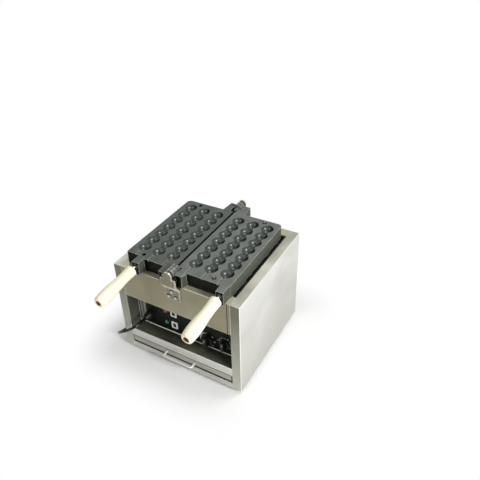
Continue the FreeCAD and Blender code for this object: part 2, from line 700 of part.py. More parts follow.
def bottom_pan():
    """Floor of the case, with the strip under the drawer and holes for the feet."""
    body = new_body("bottom_pan")
    inside = cabinet_depth - sheet_thickness - seam_gap
    profile = [(0.0, 0.0), (inside, 0.0), (inside, pan_rear_lip), (inside - sheet_thickness, pan_rear_lip),
               (inside - sheet_thickness, sheet_thickness), (sheet_thickness, sheet_thickness),
               (sheet_thickness, base_strip), (0.0, base_strip)]
    pad_right(body, "bottom_pan_fold", -inner_half, inner_half * 2, [profile])
    holes = [(point, screw_radius + screw_hole) for point in foot_points()]
    cut_up(body, "bottom_pan_holes", 0.0, sheet_thickness, circles=holes)
    return finish(body, "bottom_pan")


def foot_points():
    across = inner_half - foot_inset
    along = (foot_inset, cabinet_depth - foot_inset)
    return [(across * side, where) for side in (-1, 1) for where in along]


def rubber_feet():
    """Four turned feet with a well for the screw."""
    feet = []
    for i, (x, y) in enumerate(foot_points()):
        base = rod(f"foot_{i}", x, y, ground, foot_radius, foot_height)
        well = rod(f"foot_well_{i}", x, y, ground, screw_head + screw_hole, foot_height / 2)
        bore = rod(f"foot_bore_{i}", x, y, ground, screw_radius + screw_hole, foot_height)
        feet.append(cut(f"foot_cut_{i}", base, joined(f"foot_hole_{i}", [well, bore])))
    return finish(group("feet", feet), "rubber_feet")


def machine_screw(name, x, y, z, length, axis):
    """Pan head and shank; the head starts at the point and the shank runs along the axis."""
    steps = {"z": (0, 0, 1), "y": (0, 1, 0), "-y": (0, -1, 0)}[axis]
    head = rod(f"{name}_head", x, y, z, screw_head, screw_head_height, axis)
    at = [w + screw_head_height * s for w, s in zip((x, y, z), steps)]
    shank = rod(f"{name}_shank", at[0], at[1], at[2], screw_radius, length, axis)
    return joined(name, [head, shank])


def foot_screws():
    start = ground + foot_height / 2 - screw_head_height
    length = foot_height / 2 + sheet_thickness * 2
    screws = [machine_screw(f"foot_screw_{i}", x, y, start, length, "z")
              for i, (x, y) in enumerate(foot_points())]
    return finish(group("foot_screw_set", screws), "foot_screws")


def lower_rail():
    """Rail over the drawer, turned back as the floor of the bay."""
    body = new_body("lower_rail")
    tail = bay_depth + floor_tail
    roof = floor_level - sheet_thickness
    profile = [(0.0, rail_low), (panel_lip, rail_low), (panel_lip, rail_low + sheet_thickness),
               (sheet_thickness, rail_low + sheet_thickness), (sheet_thickness, roof), (tail, roof),
               (tail, floor_level), (0.0, floor_level)]
    pad_right(body, "lower_rail_fold", -inner_half, inner_half * 2, [profile])
    dress(body, "Fillet", lambda p, e: near(p.y, 0.0) and near(p.z, floor_level), panel_bend)
    return finish(body, "lower_rail")


def bay_side(label, side, wing, depth):
    """Cheek of the bay behind a column, with a wing beside or behind the control panel."""
    body = new_body(label)
    outer = inner_half * side
    inner = (inner_half - sheet_thickness) * side
    tip = (inner_half - wing) * side
    front = sheet_thickness + seam_gap
    back = depth + sheet_thickness
    profile = [(outer, front), (inner, front), (inner, depth),
               (tip, depth), (tip, back), (outer, back)]
    low = floor_level + seam_gap
    pad_up(body, f"{label}_fold", low, wall_top - low, [profile])
    under_lip = front_panel_low - seam_gap
    corner = rectangle(sheet_thickness, panel_lip + seam_gap, under_lip, wall_top + past)
    middle = (inner_half - sheet_thickness / 2) * side
    cut_right(body, f"{label}_corner", middle - sheet_thickness, sheet_thickness * 2, [corner])
    return body


def bay_side_left():
    """The left cheek's wing has two columns of vent slots."""
    body = bay_side("bay_side_left", -1, vent_wing, bay_depth)
    middle = -inner_half + vent_wing / 2 + sheet_thickness
    slots = []
    for side in (-1, 1):
        at = middle + (vent_length / 2 + vent_height / 2) * side
        slots.append(rectangle(at - vent_length / 2, at + vent_length / 2, vent_low, vent_low + vent_height))
    vent = cut_back(body, "bay_side_left_vent", bay_depth, sheet_thickness, slots)
    pattern(body, [vent], "Z_Axis", vent_count, vent_pitch)
    return finish(body, "bay_side_left")


def control_panel():
    """Black panel with openings for the gland, lamps, switches and spindles."""
    body = new_body("control_panel")
    left = -inner_half + vent_wing + seam_gap
    right = inner_half - sheet_thickness - seam_gap
    outline = rectangle(left, right, floor_level + seam_gap, wall_top)
    switches = [rectangle(switch_across - switch_width / 2, switch_across + switch_width / 2,
                          up - switch_height / 2, up + switch_height / 2) for up in (row_low, row_high)]
    rounds = [((lamp_across, row_low), lamp_radius + seam_gap),
              ((lamp_across, row_high), lamp_radius + seam_gap),
              ((gland_across, gland_up), gland_thread + seam_gap),
              ((dial_across, dial_up), spindle_room), ((timer_across, timer_up), spindle_room)]
    pad_back(body, "control_panel_sheet", panel_face, panel_thickness, [outline])
    cut_back(body, "control_panel_openings", panel_face, panel_thickness, switches, rounds)
    return finish(body, "control_panel")


def lamp(label, up):
    """Turned lamp: lens with a rim in front of the panel and a body behind it."""
    body = new_body(label)
    start = -seat_gap
    profile = [(0.0, start - lamp_stand, lamp_dome, 1), (lamp_bezel, start - lamp_rim), (lamp_bezel, start),
               (lamp_radius, start), (lamp_radius, switch_depth), (0.0, switch_depth)]
    spin(body, "Revolution", drawn(body, "XY_Plane", f"{label}_profile", 0.0, [profile]))
    return finish(body, label, lamp_across, panel_face, up)


def switch_body(label, up):
    """White rim with a square well for the rocker, on a body behind the panel."""
    body = new_body(label)
    wide = switch_width / 2
    tall = switch_height / 2
    rim = rectangle(-wide - switch_rim, wide + switch_rim, -tall - switch_rim, tall + switch_rim)
    front = -rim_stand - seat_gap
    pad_back(body, f"{label}_rim", front, rim_stand, [rim])
    case = rectangle(-wide + seat_gap, wide - seat_gap, -tall + seat_gap, tall - seat_gap)
    pad_back(body, f"{label}_box", front + rim_stand, switch_depth, [case])
    well_wide = wide - switch_wall
    well = rectangle(-well_wide, well_wide, -tall + switch_wall, tall - switch_wall)
    cut_back(body, f"{label}_well", front, switch_depth / 2, [well])
    pivots = well_wide + rocker_pivot_length
    holes = [((0.0, 0.0), rocker_pivot + running_gap)]
    cut_right(body, f"{label}_pivots", -pivots, pivots * 2, circles=holes)

    def on_rim_corner(middle, edge):
        return near(abs(middle.x), wide + switch_rim) and near(abs(middle.z), tall + switch_rim)

    dress(body, "Fillet", on_rim_corner, switch_corner)
    return finish(body, label, switch_across, panel_face, up)


def switch_rocker(label, up):
    """Rocker with its two faces at an angle; its pivots turn in the walls of the switch's well."""
    body = new_body(label)
    wide = switch_width / 2 - switch_wall - slide_gap
    tall = switch_height / 2 - switch_wall - rocker_room
    front = -rim_stand - seat_gap
    profile = [(front + rocker_dish, 0.0), (front - rocker_proud, tall), (rocker_side, tall),
               (rocker_depth, rocker_heel), (rocker_depth, -rocker_heel), (rocker_side, -tall),
               (front - rocker_proud, -tall)]
    pad_right(body, f"{label}_profile", -wide, wide * 2, [profile])
    pivots = wide + rocker_pivot_length
    pad_right(body, f"{label}_pivots", -pivots, pivots * 2, circles=[((0.0, 0.0), rocker_pivot)])
    return finish(body, label, switch_across, panel_face, up, rocker_tilt)


# ---------------------------------------------------------------- controls


def dial_plate():
    """Scale plates behind the two knobs."""
    plates = []
    for name, across, up, radius in (("dial", dial_across, dial_up, dial_radius),
                                     ("timer_dial", timer_across, timer_up, timer_plate)):
        front = panel_face - dial_thickness
        disc = rod(f"{name}_disc", across, front, up, radius, dial_thickness, "y")
        bore = rod(f"{name}_bore", across, front, up, spindle_room, dial_thickness, "y")
        plates.append(cut(f"{name}_ring", disc, bore))
    return finish(group("dial_plates", plates), "dial_plates")


def knob(label, across, up, radius):
    """Skirted knob with a grip bar and a blind hole for the spindle; its front faces -Y."""
    body = new_body(label)
    back = panel_face - dial_thickness - slide_gap
    pad_back(body, f"{label}_skirt", -knob_skirt, knob_skirt, circles=[((0.0, 0.0), radius)])
    reach = radius * knob_bar_share
    bar = rectangle(-knob_grip, knob_grip, -reach, reach)
    pad_back(body, f"{label}_bar", -knob_height, knob_height - knob_skirt, [bar])
    dress(body, "Chamfer", lambda p, e: near(p.y, -knob_height), knob_edge)
    hole = knob_height - knob_wall
    cut_back(body, f"{label}_hole", -hole, hole, circles=[((0.0, 0.0), spindle_radius + press_gap)])
    return finish(body, label, across, back, up)


def spindle(label, across, up):
    front = panel_face - dial_thickness - slide_gap - knob_height + knob_wall + seam_gap
    length = panel_face + panel_thickness + control_depth / 2 - front
    bar = rod(f"{label}_bar", across, front, up, spindle_radius, length, "y")
    return finish(group(f"{label}_set", [bar]), label)


def control_body(label, across, up):
    """Switch block behind the panel, with a bush for its spindle."""
    start = panel_face + panel_thickness
    wide = control_width / 2
    block = box(f"{label}_block", (across - wide, across + wide), (start, start + control_depth),
                (up - wide, up + wide))
    radius = spindle_radius + spindle_hole
    bore = rod(f"{label}_bore", across, start, up, radius, control_depth / 2 + slide_gap, "y")
    return finish(cut(f"{label}_body", block, bore), label)


def terminal_block():
    """Screw terminals on the floor behind the control panel."""
    body = new_body("terminal_block")
    deep = terminal_depth / 2
    base = rectangle(-terminal_half, terminal_half, -deep, deep)
    pad_up(body, "terminal_base", 0.0, terminal_height, [base])
    first = terminal_pitch * (terminal_count - 1) / -2
    wells = [((first, -terminal_row), terminal_well), ((first, terminal_row), terminal_well)]
    low = terminal_height - terminal_well_depth
    well = cut_up(body, "terminal_wells", low, terminal_well_depth, circles=wells)
    pattern(body, [well], "X_Axis", terminal_count, terminal_pitch)
    return finish(body, "terminal_block", terminal_across, terminal_back, floor_level)


# ---------------------------------------------------------------- hinge


def hinge_bracket(label, at, facing):
    """Stepped bracket: foot screwed to the cabinet face, head in front of it with the pin's blind seat."""
    body = new_body(label)
    low_shoulder = hinge_level - shoulder_drop
    neck = head_radius
    outline = [(-bracket_half, bracket_low), (bracket_half, bracket_low), (bracket_half, low_shoulder),
               (neck, low_shoulder), (neck, hinge_level, head_radius, 1), (-neck, hinge_level),
               (-neck, low_shoulder), (-bracket_half, low_shoulder)]
    deep = bracket_stand + bracket_plate
    pad_back(body, f"{label}_outline", -deep, deep, [outline])
    top = bracket_leg_top + bracket_step
    over = (bracket_half + past) * 2
    side = -bracket_half - past
    low = bracket_low - past
    high = hinge_level + head_radius + past
    under = [(-deep - past, low), (-bracket_leg, low), (-bracket_leg, bracket_leg_top), (-deep, top),
             (-deep - past, top)]
    behind = [(past, bracket_leg_top), (0.0, bracket_leg_top), (-bracket_stand, top),
              (-bracket_stand, high), (past, high)]
    cut_right(body, f"{label}_front", side, over, [under])
    cut_right(body, f"{label}_behind", side, over, [behind])
    seat = [((0.0, hinge_level), axle_radius + press_gap)]
    cut_back(body, f"{label}_seat", -bracket_stand - axle_seat, axle_seat, circles=seat)
    holes = [(point, screw_radius + screw_hole) for point in bracket_holes()]
    cut_back(body, f"{label}_holes", -bracket_leg, bracket_leg, circles=holes)
    finish(body, label, 0.0, at)
    if facing > 0:
        body.Placement = Placement(body.Placement.Base, Rotation(Vector(0, 0, 1), 180))
    return body


def bracket_screws(label, at, axis):
    step = 1 if axis == "y" else -1
    start = at - (bracket_leg + screw_head_height) * step
    length = bracket_leg + sheet_thickness + screw_run
    screws = [machine_screw(f"{label}_{i}", x, start, z, length, axis)
              for i, (x, z) in enumerate(bracket_holes())]
    return finish(group(f"{label}_set", screws), label)


def hinge_pins():
    """A pin at each end, from its seat in the bracket through the knuckles; the rear one ends bare."""
    seat = bracket_stand + axle_seat - slide_gap
    front_length = seat + front_knuckle(2) + knuckle_width + slide_gap
    rear_start = rear_knuckle(1) - pin_bare
    rear_length = cabinet_depth + seat - rear_start
    pins = [rod("hinge_pin_0", 0.0, -seat, hinge_level, axle_radius, front_length, "y"),
            rod("hinge_pin_1", 0.0, rear_start, hinge_level, axle_radius, rear_length, "y")]
    return finish(group("hinge_pin_set", pins), "hinge_pins")


def front_knuckle(place_in_row):
    """Where a front knuckle starts, counted from the front."""
    return knuckle_pitch * place_in_row - knuckle_first


def rear_knuckle(place_in_row):
    """Where a rear knuckle starts, counted from the rear."""
    return rear_end - knuckle_width - knuckle_pitch * place_in_row


def hinge_knuckles(label, side, starts):
    """Steel knuckles of a plate: ring on the hinge pin, web to the plate's block, tongue cast into it."""
    rings = []
    for i, start in enumerate(starts):
        body = new_body(f"{label}_{i}")
        pad_back(body, f"{label}_{i}_outline", start, knuckle_width, [knuckle_shape(side)])
        bore = [((0.0, hinge_level), axle_radius + running_gap)]
        cut_back(body, f"{label}_{i}_bore", start, knuckle_width, circles=bore)
        rings.append(body)
    return finish(group(f"{label}_set", rings), label)


# ---------------------------------------------------------------- cast plates


def plate_outline(side, lug_at, block_front):
    """Seen from above, from the hinge line outwards; the hinge recesses step back round the knuckles."""
    inner = plate_gap / 2
    lug_in = lug_at - lug_width / 2
    lug_out = lug_at + lug_width / 2
    root = block_width + block_flare
    points = [(inner, recess_front_margin), (block_start, recess_front_margin), (block_start, -block_front),
              (block_width, -block_front), (root, plate_front), (lug_in, plate_front), (lug_in, -lug_front),
              (lug_out, -lug_front), (lug_out, plate_corner_front), (plate_half, plate_corner_front),
              (plate_half, plate_rear), (root, plate_rear), (block_width, rear_end), (block_start, rear_end)]
    if side > 0:
        ring_room = rear_knuckle(1) - knuckle_gap
        points += [(block_start, ring_room), (pin_side, ring_room), (pin_side, recess_rear)]
    else:
        points += [(block_start, recess_rear)]
    points += [(inner, recess_rear)]
    return [(x * side, y) for x, y in points]


def knuckle_shape(side):
    """Seen from the front: ring, web and tongue."""
    reach = block_start + tongue_length
    low = hinge_level - knuckle_radius
    radius = knuckle_radius
    step = low + tongue_height
    return [(0.0, low, radius, -side), (0.0, hinge_level + radius, radius, -side),
            (radius * side, hinge_level), (radius * side, face_level), (block_start * side, face_level),
            (block_start * side, step), (reach * side, step), (reach * side, low)]


def tongue_slot(side):
    low = hinge_level - knuckle_radius
    inside = (block_start + tongue_length) * side
    outside = (block_start - past) * side
    return [(outside, low), (inside, low), (inside, low + tongue_height), (outside, low + tongue_height)]
def plate_shell(body, label, side, lug_at, block_front):
    """Skirted shell of a plate with a trough of metal under each row."""
    outline = plate_outline(side, lug_at, block_front)
    pad_up(body, f"{label}_outline", plate_low, face_level - plate_low, [outline])
    dress(body, "Fillet", lambda p, e: near(abs(p.x), plate_half) and near(p.y, plate_rear), plate_corner)
    near_wall = plate_gap / 2 + plate_wall
    block_wall = block_width + plate_wall
    far_wall = plate_half - plate_wall
    zone_end = recess_front_margin + plate_wall
    rear_start = recess_rear - plate_wall
    hollow = [(near_wall, zone_end), (block_wall, zone_end), (block_wall, plate_corner_front + plate_wall),
              (far_wall, plate_corner_front + plate_wall), (far_wall, plate_rear - plate_wall),
              (block_wall, plate_rear - plate_wall), (block_wall, rear_start), (near_wall, rear_start)]
    depth = face_level - plate_skin - plate_low
    cut_up(body, f"{label}_hollow", plate_low, depth, [[(x * side, y) for x, y in hollow]])
    trough = ball_radius + ball_wall
    first = row_first * side
    shape = [(first - trough, face_level, trough, 1), (first + trough, face_level)]
    length = ball_pitch * (ball_count - 1) + trough * 2
    metal = pad_back(body, f"{label}_trough", ball_first - trough, length, [shape])
    pattern(body, [metal], "X_Axis", row_count, row_pitch, side < 0)


def plate_cavities(body, label, side):
    """Balls in each row, then the necks between them and the channels for the sticks."""
    for row in range(int(row_count.value)):
        profile = [(0.0, ball_first - ball_radius, ball_radius, 1), (0.0, ball_first + ball_radius)]
        across = (row_first + row_pitch * row) * side
        sketch = drawn(body, "XY_Plane", f"{label}_ball_{row}", hinge_level, [profile], across=across)
        ball = spin(body, "Groove", sketch)
        pattern(body, [ball], "Y_Axis", ball_count, ball_pitch)
    centre = (row_first * side, hinge_level)
    row_length = ball_pitch * (ball_count - 1)
    neck = cut_back(body, f"{label}_neck", ball_first, row_length, circles=[(centre, neck_radius)])
    pattern(body, [neck], "X_Axis", row_count, row_pitch, side < 0)
    start = -lug_front - past
    stick = cut_back(body, f"{label}_stick", start, ball_first - start, circles=[(centre, stick_radius)])
    pattern(body, [stick], "X_Axis", row_count, row_pitch, side < 0)


def cast_plate(label, side, lug_at, block_front, knuckles_at, pin_depth, pin_hole):
    """Cast plate: shell, slots for the knuckles' tongues, cavities, locating holes and handle bore."""
    body = new_body(label)
    plate_shell(body, label, side, lug_at, block_front)
    for i, start in enumerate(knuckles_at):
        cut_back(body, f"{label}_tongue_{i}", start, knuckle_width, [tongue_slot(side)])
    plate_cavities(body, label, side)
    pins = [((pin_across * side, where), pin_hole) for where in (pin_front_margin, pin_rear)]
    cut_up(body, f"{label}_pins", face_level - pin_depth, pin_depth + past, circles=pins)
    level = -lug_front - past
    up = hinge_level - rod_drop - tangent(handle_droop) * past
    bore = drawn(body, "XZ_Plane", f"{label}_rod_bore", level, circles=[((0.0, 0.0), rod_radius + press_gap)],
                 across=lug_at * side, up=up, turn=handle_droop)
    extrude(body, "Pocket", bore, rod_in_lug + past)
    return finish(body, label)


def locating_pins():
    """Two tapered pins pressed into the right plate."""
    pins = []
    base = face_level - pin_seat
    straight = pin_seat + pin_straight
    taper = pin_height - pin_straight
    for i, where in enumerate((pin_front_margin, pin_rear)):
        shank = rod(f"pin_shank_{i}", pin_across, where, base, pin_radius, straight)
        tip = doc.addObject("Part::Cone", f"pin_tip_{i}")
        for prop, amount in (("Radius1", pin_radius), ("Radius2", pin_tip), ("Height", taper)):
            setattr(tip, prop, number(amount))
            bind(tip, prop, amount)
        place(tip, pin_across, where, base + straight)
        pins.append(joined(f"pin_{i}", [shank, tip]))
    return finish(group("pin_set", pins), "locating_pins")


def on_handle(thing, label, side, lug_at):
    """Put something on a handle's axis; it is drawn from the lug's front face towards -Y."""
    return finish(thing, label, lug_at * side, -lug_front, hinge_level - rod_drop, handle_droop)


def handle_rod(label, side, lug_at):
    """Steel rod in the lug, with a thinner threaded end for the nut."""
    thick_length = rod_in_lug + rod_bare + grip_length - grip_well_depth
    thick = rod(f"{label}_bar", 0.0, rod_in_lug, 0.0, rod_radius, thick_length, "-y")
    thread_length = nut_height + thread_end
    thread = rod(f"{label}_thread", 0.0, rod_in_lug - thick_length, 0.0, thread_radius, thread_length, "-y")
    return on_handle(joined(f"{label}_turned", [thick, thread]), label, side, lug_at)


def handle_grip(label, side, lug_at):
    """Turned wooden grip: slim waist, full belly, rounded hand end with a well for the nut."""
    body = new_body(label)
    bore = rod_radius + grip_bore
    start = -rod_bare
    end = start - grip_length
    waist_at = start - grip_waist_at
    belly_at = start - grip_belly_at
    swell = grip_belly - grip_waist
    sweep = grip_belly_at - grip_waist_at
    into_waist = arc_radius(grip_waist_at - grip_edge, grip_root - grip_waist)
    into_belly = arc_radius(sweep / 2, swell / 2)
    into_tip = arc_radius(grip_length - grip_belly_at, grip_belly - grip_tip)
    profile = [(bore, start), (grip_root - grip_edge, start), (grip_root, start - grip_edge, into_waist, 1),
               (grip_waist, waist_at, into_belly, 1),
               (grip_waist + swell / 2, waist_at - sweep / 2, into_belly, -1),
               (grip_belly, belly_at, into_tip, -1), (grip_tip, end), (grip_well, end),
               (grip_well, end + grip_well_depth), (bore, end + grip_well_depth)]
    spin(body, "Revolution", drawn(body, "XY_Plane", f"{label}_profile", 0.0, [profile]))

    def on_hand_end(middle, edge):
        return near(middle.y, end) and near(max(abs(v.X) for v in edge.Vertexes), grip_tip)

    dress(body, "Fillet", on_hand_end, grip_round)
    return on_handle(body, label, side, lug_at)


def grip_nut(label, side, lug_at):
    """Hexagonal nut in the well of a grip."""
    body = new_body(label)
    start = -rod_bare - grip_length + grip_well_depth - nut_height
    sketch = new_sketch(body, "XZ_Plane", f"{label}_outline", start)
    turns = [math.radians(60 * i) for i in range(6)]
    add_loop(sketch, [(nut_corner * math.cos(turn), nut_corner * math.sin(turn)) for turn in turns])
    add_circle(sketch, (0.0, 0.0), thread_radius + press_gap)
    extrude(body, "Pad", sketch, nut_height, True)
    return on_handle(body, label, side, lug_at)


# ---------------------------------------------------------------- bent wire and tube


def bent_tube(name, route, radius, bend=None):
    """A round bar of straight runs and tangent arcs; without a bend the arcs are as large as fits."""
    share = 0.45  # of the shorter run, taken by an arc
    points = [Vector(*(number(c) for c in p)) for p in route]
    edges = []
    last = points[0]
    for before, corner, after in zip(points, points[1:], points[2:]):
        into = (corner - before).normalize()
        out = (after - corner).normalize()
        half_turn = into.getAngle(out) / 2
        shorter = min(corner.distanceToPoint(before), corner.distanceToPoint(after))
        turn_radius = number(bend) if bend else share * shorter / math.tan(half_turn)
        if turn_radius < 2 * number(radius):
            raise RuntimeError(f"{name}: bend of {turn_radius:.1f}")
        back = turn_radius * math.tan(half_turn)
        start = corner - into * back
        end = corner + out * back
        inward = (out - into).normalize()
        middle = corner + inward * (turn_radius / math.cos(half_turn) - turn_radius)
        edges.append(Part.LineSegment(last, start).toShape())
        edges.append(Part.Arc(start, middle, end).toShape())
        last = end
    edges.append(Part.LineSegment(last, points[-1]).toShape())
    path = Part.Wire(edges)
    ring = Part.Wire(Part.makeCircle(number(radius), points[0], points[1] - points[0]))
    shape = path.makePipeShell([ring], True, False)
    expected = math.pi * number(radius) ** 2 * path.Length
    if abs(shape.Volume / expected - 1) > 0.01:
        raise RuntimeError(f"{name}: volume {shape.Volume:.0f} for {expected:.0f}")
    tube = doc.addObject("Part::Feature", name)
    tube.Shape = shape
    return tube, path.Length


def drawer_pull():
    """U of round wire on the drawer front."""
    route = [(-pull_half, 0.0, pull_level), (-pull_half, -pull_reach, pull_level),
             (pull_half, -pull_reach, pull_level), (pull_half, 0.0, pull_level)]
    wire, _ = bent_tube("pull_wire", route, pull_radius, pull_bend)
    return finish(wire, "drawer_handle")


def heating_element(label, side):
    """Tubular heater in four legs; its cold ends leave through the tray's front wall."""
    legs = [element_inner + element_pitch * i for i in range(4)]
    route = [(legs[0], element_end, element_level), (legs[0], element_rear, element_level),
             (legs[1], element_rear, element_level), (legs[1], element_front_margin, element_level),
             (legs[2], element_front_margin, element_level), (legs[2], element_rear, element_level),
             (legs[3], element_rear, element_level), (legs[3], element_end, element_level)]
    mirrored = [(x * side, y, z) for x, y, z in route]
    bend = element_pitch * element_bend_share
    bent, _ = bent_tube(f"{label}_tube", mirrored, element_radius, bend)
    return finish(bent, label)


def reflector_tray():
    """Open tray under the plates, hung by its side rims; the heaters' ends leave at the front."""
    body = new_body("reflector_tray")
    high = cabinet_height - sheet_thickness - seam_gap
    outer = tray_half
    front = tray_front_margin
    outline = rectangle(-outer, outer, front, tray_rear)
    pad_up(body, "tray_outline", tray_low, high - tray_low, [outline])
    rim = outer + tray_rim
    pad_up(body, "tray_rims", high - tray_wall, tray_wall, [rectangle(-rim, rim, front, tray_rear)])
    wall = tray_wall
    inside = rectangle(-outer + wall, outer - wall, front + wall, tray_rear - wall)
    cut_up(body, "tray_inside", tray_low + wall, high - tray_low, [inside])
    ends = [((element_inner + element_pitch * i) * side, element_level) for side in (-1, 1) for i in (0, 3)]
    holes = [(end, element_radius + slide_gap) for end in ends]
    cut_back(body, "tray_ends", front, wall, circles=holes)
    return finish(body, "reflector_tray")


def element_rests():
    """Two flat bars across the tray, under the heaters."""
    top = element_level - element_radius
    reach = tray_half - tray_wall - seam_gap
    bars = [box(f"rest_{i}", (-reach, reach), (at, at + rest_width), (top - rest_height, top))
            for i, at in enumerate((rest_front_margin, rest_rear))]
    return finish(group("rest_bars", bars), "element_rests")


# ---------------------------------------------------------------- drawer


def drawer_tray():
    """Shallow pan on the runners."""
    body = new_body("drawer_tray")
    low = base_strip + seam_gap + runner_thickness + slide_gap
    front = sheet_thickness
    back = front + drawer_depth
    pad_up(body, "drawer_outline", low, drawer_side, [rectangle(-drawer_half, drawer_half, front, back)])
    wall = drawer_wall
    inside = rectangle(-drawer_half + wall, drawer_half - wall, front + wall, back - wall)
    cut_up(body, "drawer_inside", low + wall, drawer_side, [inside])
    return finish(body, "drawer_tray")


def drawer_front():
    body = new_body("drawer_front")
    reach = inner_half - slide_gap
    sheet = rectangle(-reach, reach, drawer_low, drawer_high)
    pad_back(body, "drawer_front_sheet", 0.0, sheet_thickness, [sheet])
    return finish(body, "drawer_front")


def drawer_runner(label, side):
    """Angle on the case floor: a wall with a shelf under the tray's edge."""
    body = new_body(label)
    shelf = base_strip + seam_gap
    inner = drawer_half + slide_gap
    outer = inner + runner_thickness
    low = sheet_thickness
    foot = outer + runner_shelf
    upper = shelf + runner_thickness
    top = shelf + runner_height
    profile = [(inner, low), (foot, low), (foot, low + runner_thickness), (outer, low + runner_thickness),
               (outer, top), (inner, top), (inner, upper), (inner - runner_shelf, upper),
               (inner - runner_shelf, shelf), (inner, shelf)]
    front = sheet_thickness + slide_gap
    pad_back(body, f"{label}_fold", front, drawer_depth, [[(x * side, z) for x, z in profile]])
    return finish(body, label)


# ---------------------------------------------------------------- mains lead


def cable_gland():
    """Collar against the panel, tapered nose, threaded body behind."""
    body = new_body("cable_gland")
    start = -seat_gap
    profile = [(0.0, -gland_length), (gland_nose, -gland_length), (gland_radius, start - gland_collar),
               (gland_radius, start), (gland_thread, start), (gland_thread, gland_tail), (0.0, gland_tail)]
    spin(body, "Revolution", drawn(body, "XY_Plane", "gland_profile", 0.0, [profile]))
    return finish(body, "cable_gland", gland_across, panel_face, gland_up)


def lead_route():
    """The lead's points, from the case's left side: out of the gland, round the corner, along the table."""
    rest = ground + cord_radius + seam_gap
    points = ((62, -2, 102), (58.5, -16.5, 101), (50.5, -29, 97.5), (38, -36.5, 91), (23, -37.5, 81),
              (8, -32, 67.5), (-5, -21.5, 52), (-16, -7, 36.5), (-24, 11, 22), (-30, 33, 10), (-34, 60, 1),
              (-37, 91, rest), (-38, 127, rest), (-34, 166, rest), (-21, 203, rest))
    start = (gland_across, panel_face - gland_length, gland_up)
    return [start] + [(-half + x, y, z) for x, y, z in points]


def tail_route():
    """Out of the coil, up and straight into the plug."""
    level = ground + plug_face + seam_gap
    return [(-half - 19, 241, 3), (-half - 24, 254, 7), (plug_across, plug_back - plug_straight, level),
            (plug_across, plug_back, level)]


def mains_cord():
    lead, lead_length = bent_tube("lead_tube", lead_route(), cord_radius)
    tail, tail_length = bent_tube("tail_tube", tail_route(), cord_radius)
    print("lead", round(lead_length), "tail", round(tail_length))
    return finish(group("lead_tubes", [lead, tail]), "mains_cord")


def cord_coil():
    """Outer shape of the put-away turns."""
    ring = rod("coil_ring", coil_across, coil_back, ground, coil_outer, coil_height)
    hole = rod("coil_hole", coil_across, coil_back, ground, coil_inner, coil_height)
    return finish(cut("coil_round", ring, hole), "cord_coil")


def plug_body():
    """Moulded plug: tapered strain relief, waisted grip, round face."""
    body = new_body("plug_body")
    end = plug_tail + plug_length
    profile = [(0.0, 0.0), (boot_root, 0.0), (boot_radius, boot_length), (plug_waist, plug_tail),
               (plug_waist, plug_tail + plug_grip), (plug_face, plug_tail + plug_flare),
               (plug_face, end), (0.0, end)]
    spin(body, "Revolution", drawn(body, "XY_Plane", "plug_profile", 0.0, [profile]))
    return finish(body, "plug_body", plug_across, plug_back, ground + plug_face + seam_gap)


def plug_pins():
    level = ground + plug_face + seam_gap
    start = plug_back + plug_tail + plug_length
    places = (plug_across - contact_pitch / 2, plug_across + contact_pitch / 2)
    pins = [rod(f"contact_{i}", where, start, level, contact_radius, contact_length, "y")
            for i, where in enumerate(places)]
    return finish(group("contacts", pins), "plug_pins")


# ---------------------------------------------------------------- the assembly


def build():
    side_panel("side_panel_left", -1)
    side_panel("side_panel_right", 1)
    front_panel()
    rear_panel()
    bottom_pan()
    rubber_feet()
    foot_screws()
    lower_rail()
    bay_side_left()
    behind_panel = bay_depth + panel_thickness + seam_gap
    finish(bay_side("bay_side_right", 1, panel_lip, behind_panel), "bay_side_right")
    control_panel()
    lamp("lamp_green", row_low)
    lamp("lamp_red", row_high)
    for name, up in (("lower", row_low), ("upper", row_high)):
        switch_body(f"switch_body_{name}", up)
        switch_rocker(f"switch_rocker_{name}", up)
    dial_plate()
    knob("thermostat_knob", dial_across, dial_up, knob_radius)
    spindle("thermostat_spindle", dial_across, dial_up)
    control_body("thermostat_body", dial_across, dial_up)
    knob("timer_knob", timer_across, timer_up, timer_knob_radius)
    spindle("timer_spindle", timer_across, timer_up)
    control_body("timer_body", timer_across, timer_up)
    terminal_block()
    hinge_bracket("hinge_bracket_front", Length("0", 0.0), -1)
    hinge_bracket("hinge_bracket_rear", cabinet_depth, 1)
    bracket_screws("bracket_screws_front", Length("0", 0.0), "y")
    bracket_screws("bracket_screws_rear", cabinet_depth, "-y")
    hinge_pins()
    left_knuckles = [front_knuckle(0), front_knuckle(2), rear_knuckle(0)]
    right_knuckles = [front_knuckle(1), rear_knuckle(1)]
    hinge_knuckles("hinge_knuckles_left", -1, left_knuckles)
    hinge_knuckles("hinge_knuckles_right", 1, right_knuckles)
    loose = pin_radius + pin_room
    tight = pin_radius + press_gap
    cast_plate("plate_left", -1, lug_left_at, block_left_front, left_knuckles, plate_skin, loose)
    cast_plate("plate_right", 1, lug_right_at, block_right_front, right_knuckles, pin_seat, tight)
    locating_pins()
    for name, side, lug_at in (("left", -1, lug_left_at), ("right", 1, lug_right_at)):
        handle_rod(f"handle_rod_{name}", side, lug_at)
        handle_grip(f"handle_grip_{name}", side, lug_at)
        grip_nut(f"grip_nut_{name}", side, lug_at)
        heating_element(f"heating_element_{name}", side)
    reflector_tray()
    element_rests()
    drawer_tray()
    drawer_front()
    drawer_pull()
    drawer_runner("drawer_runner_left", -1)
    drawer_runner("drawer_runner_right", 1)
    cable_gland()
    mains_cord()
    cord_coil()
    plug_body()
    plug_pins()


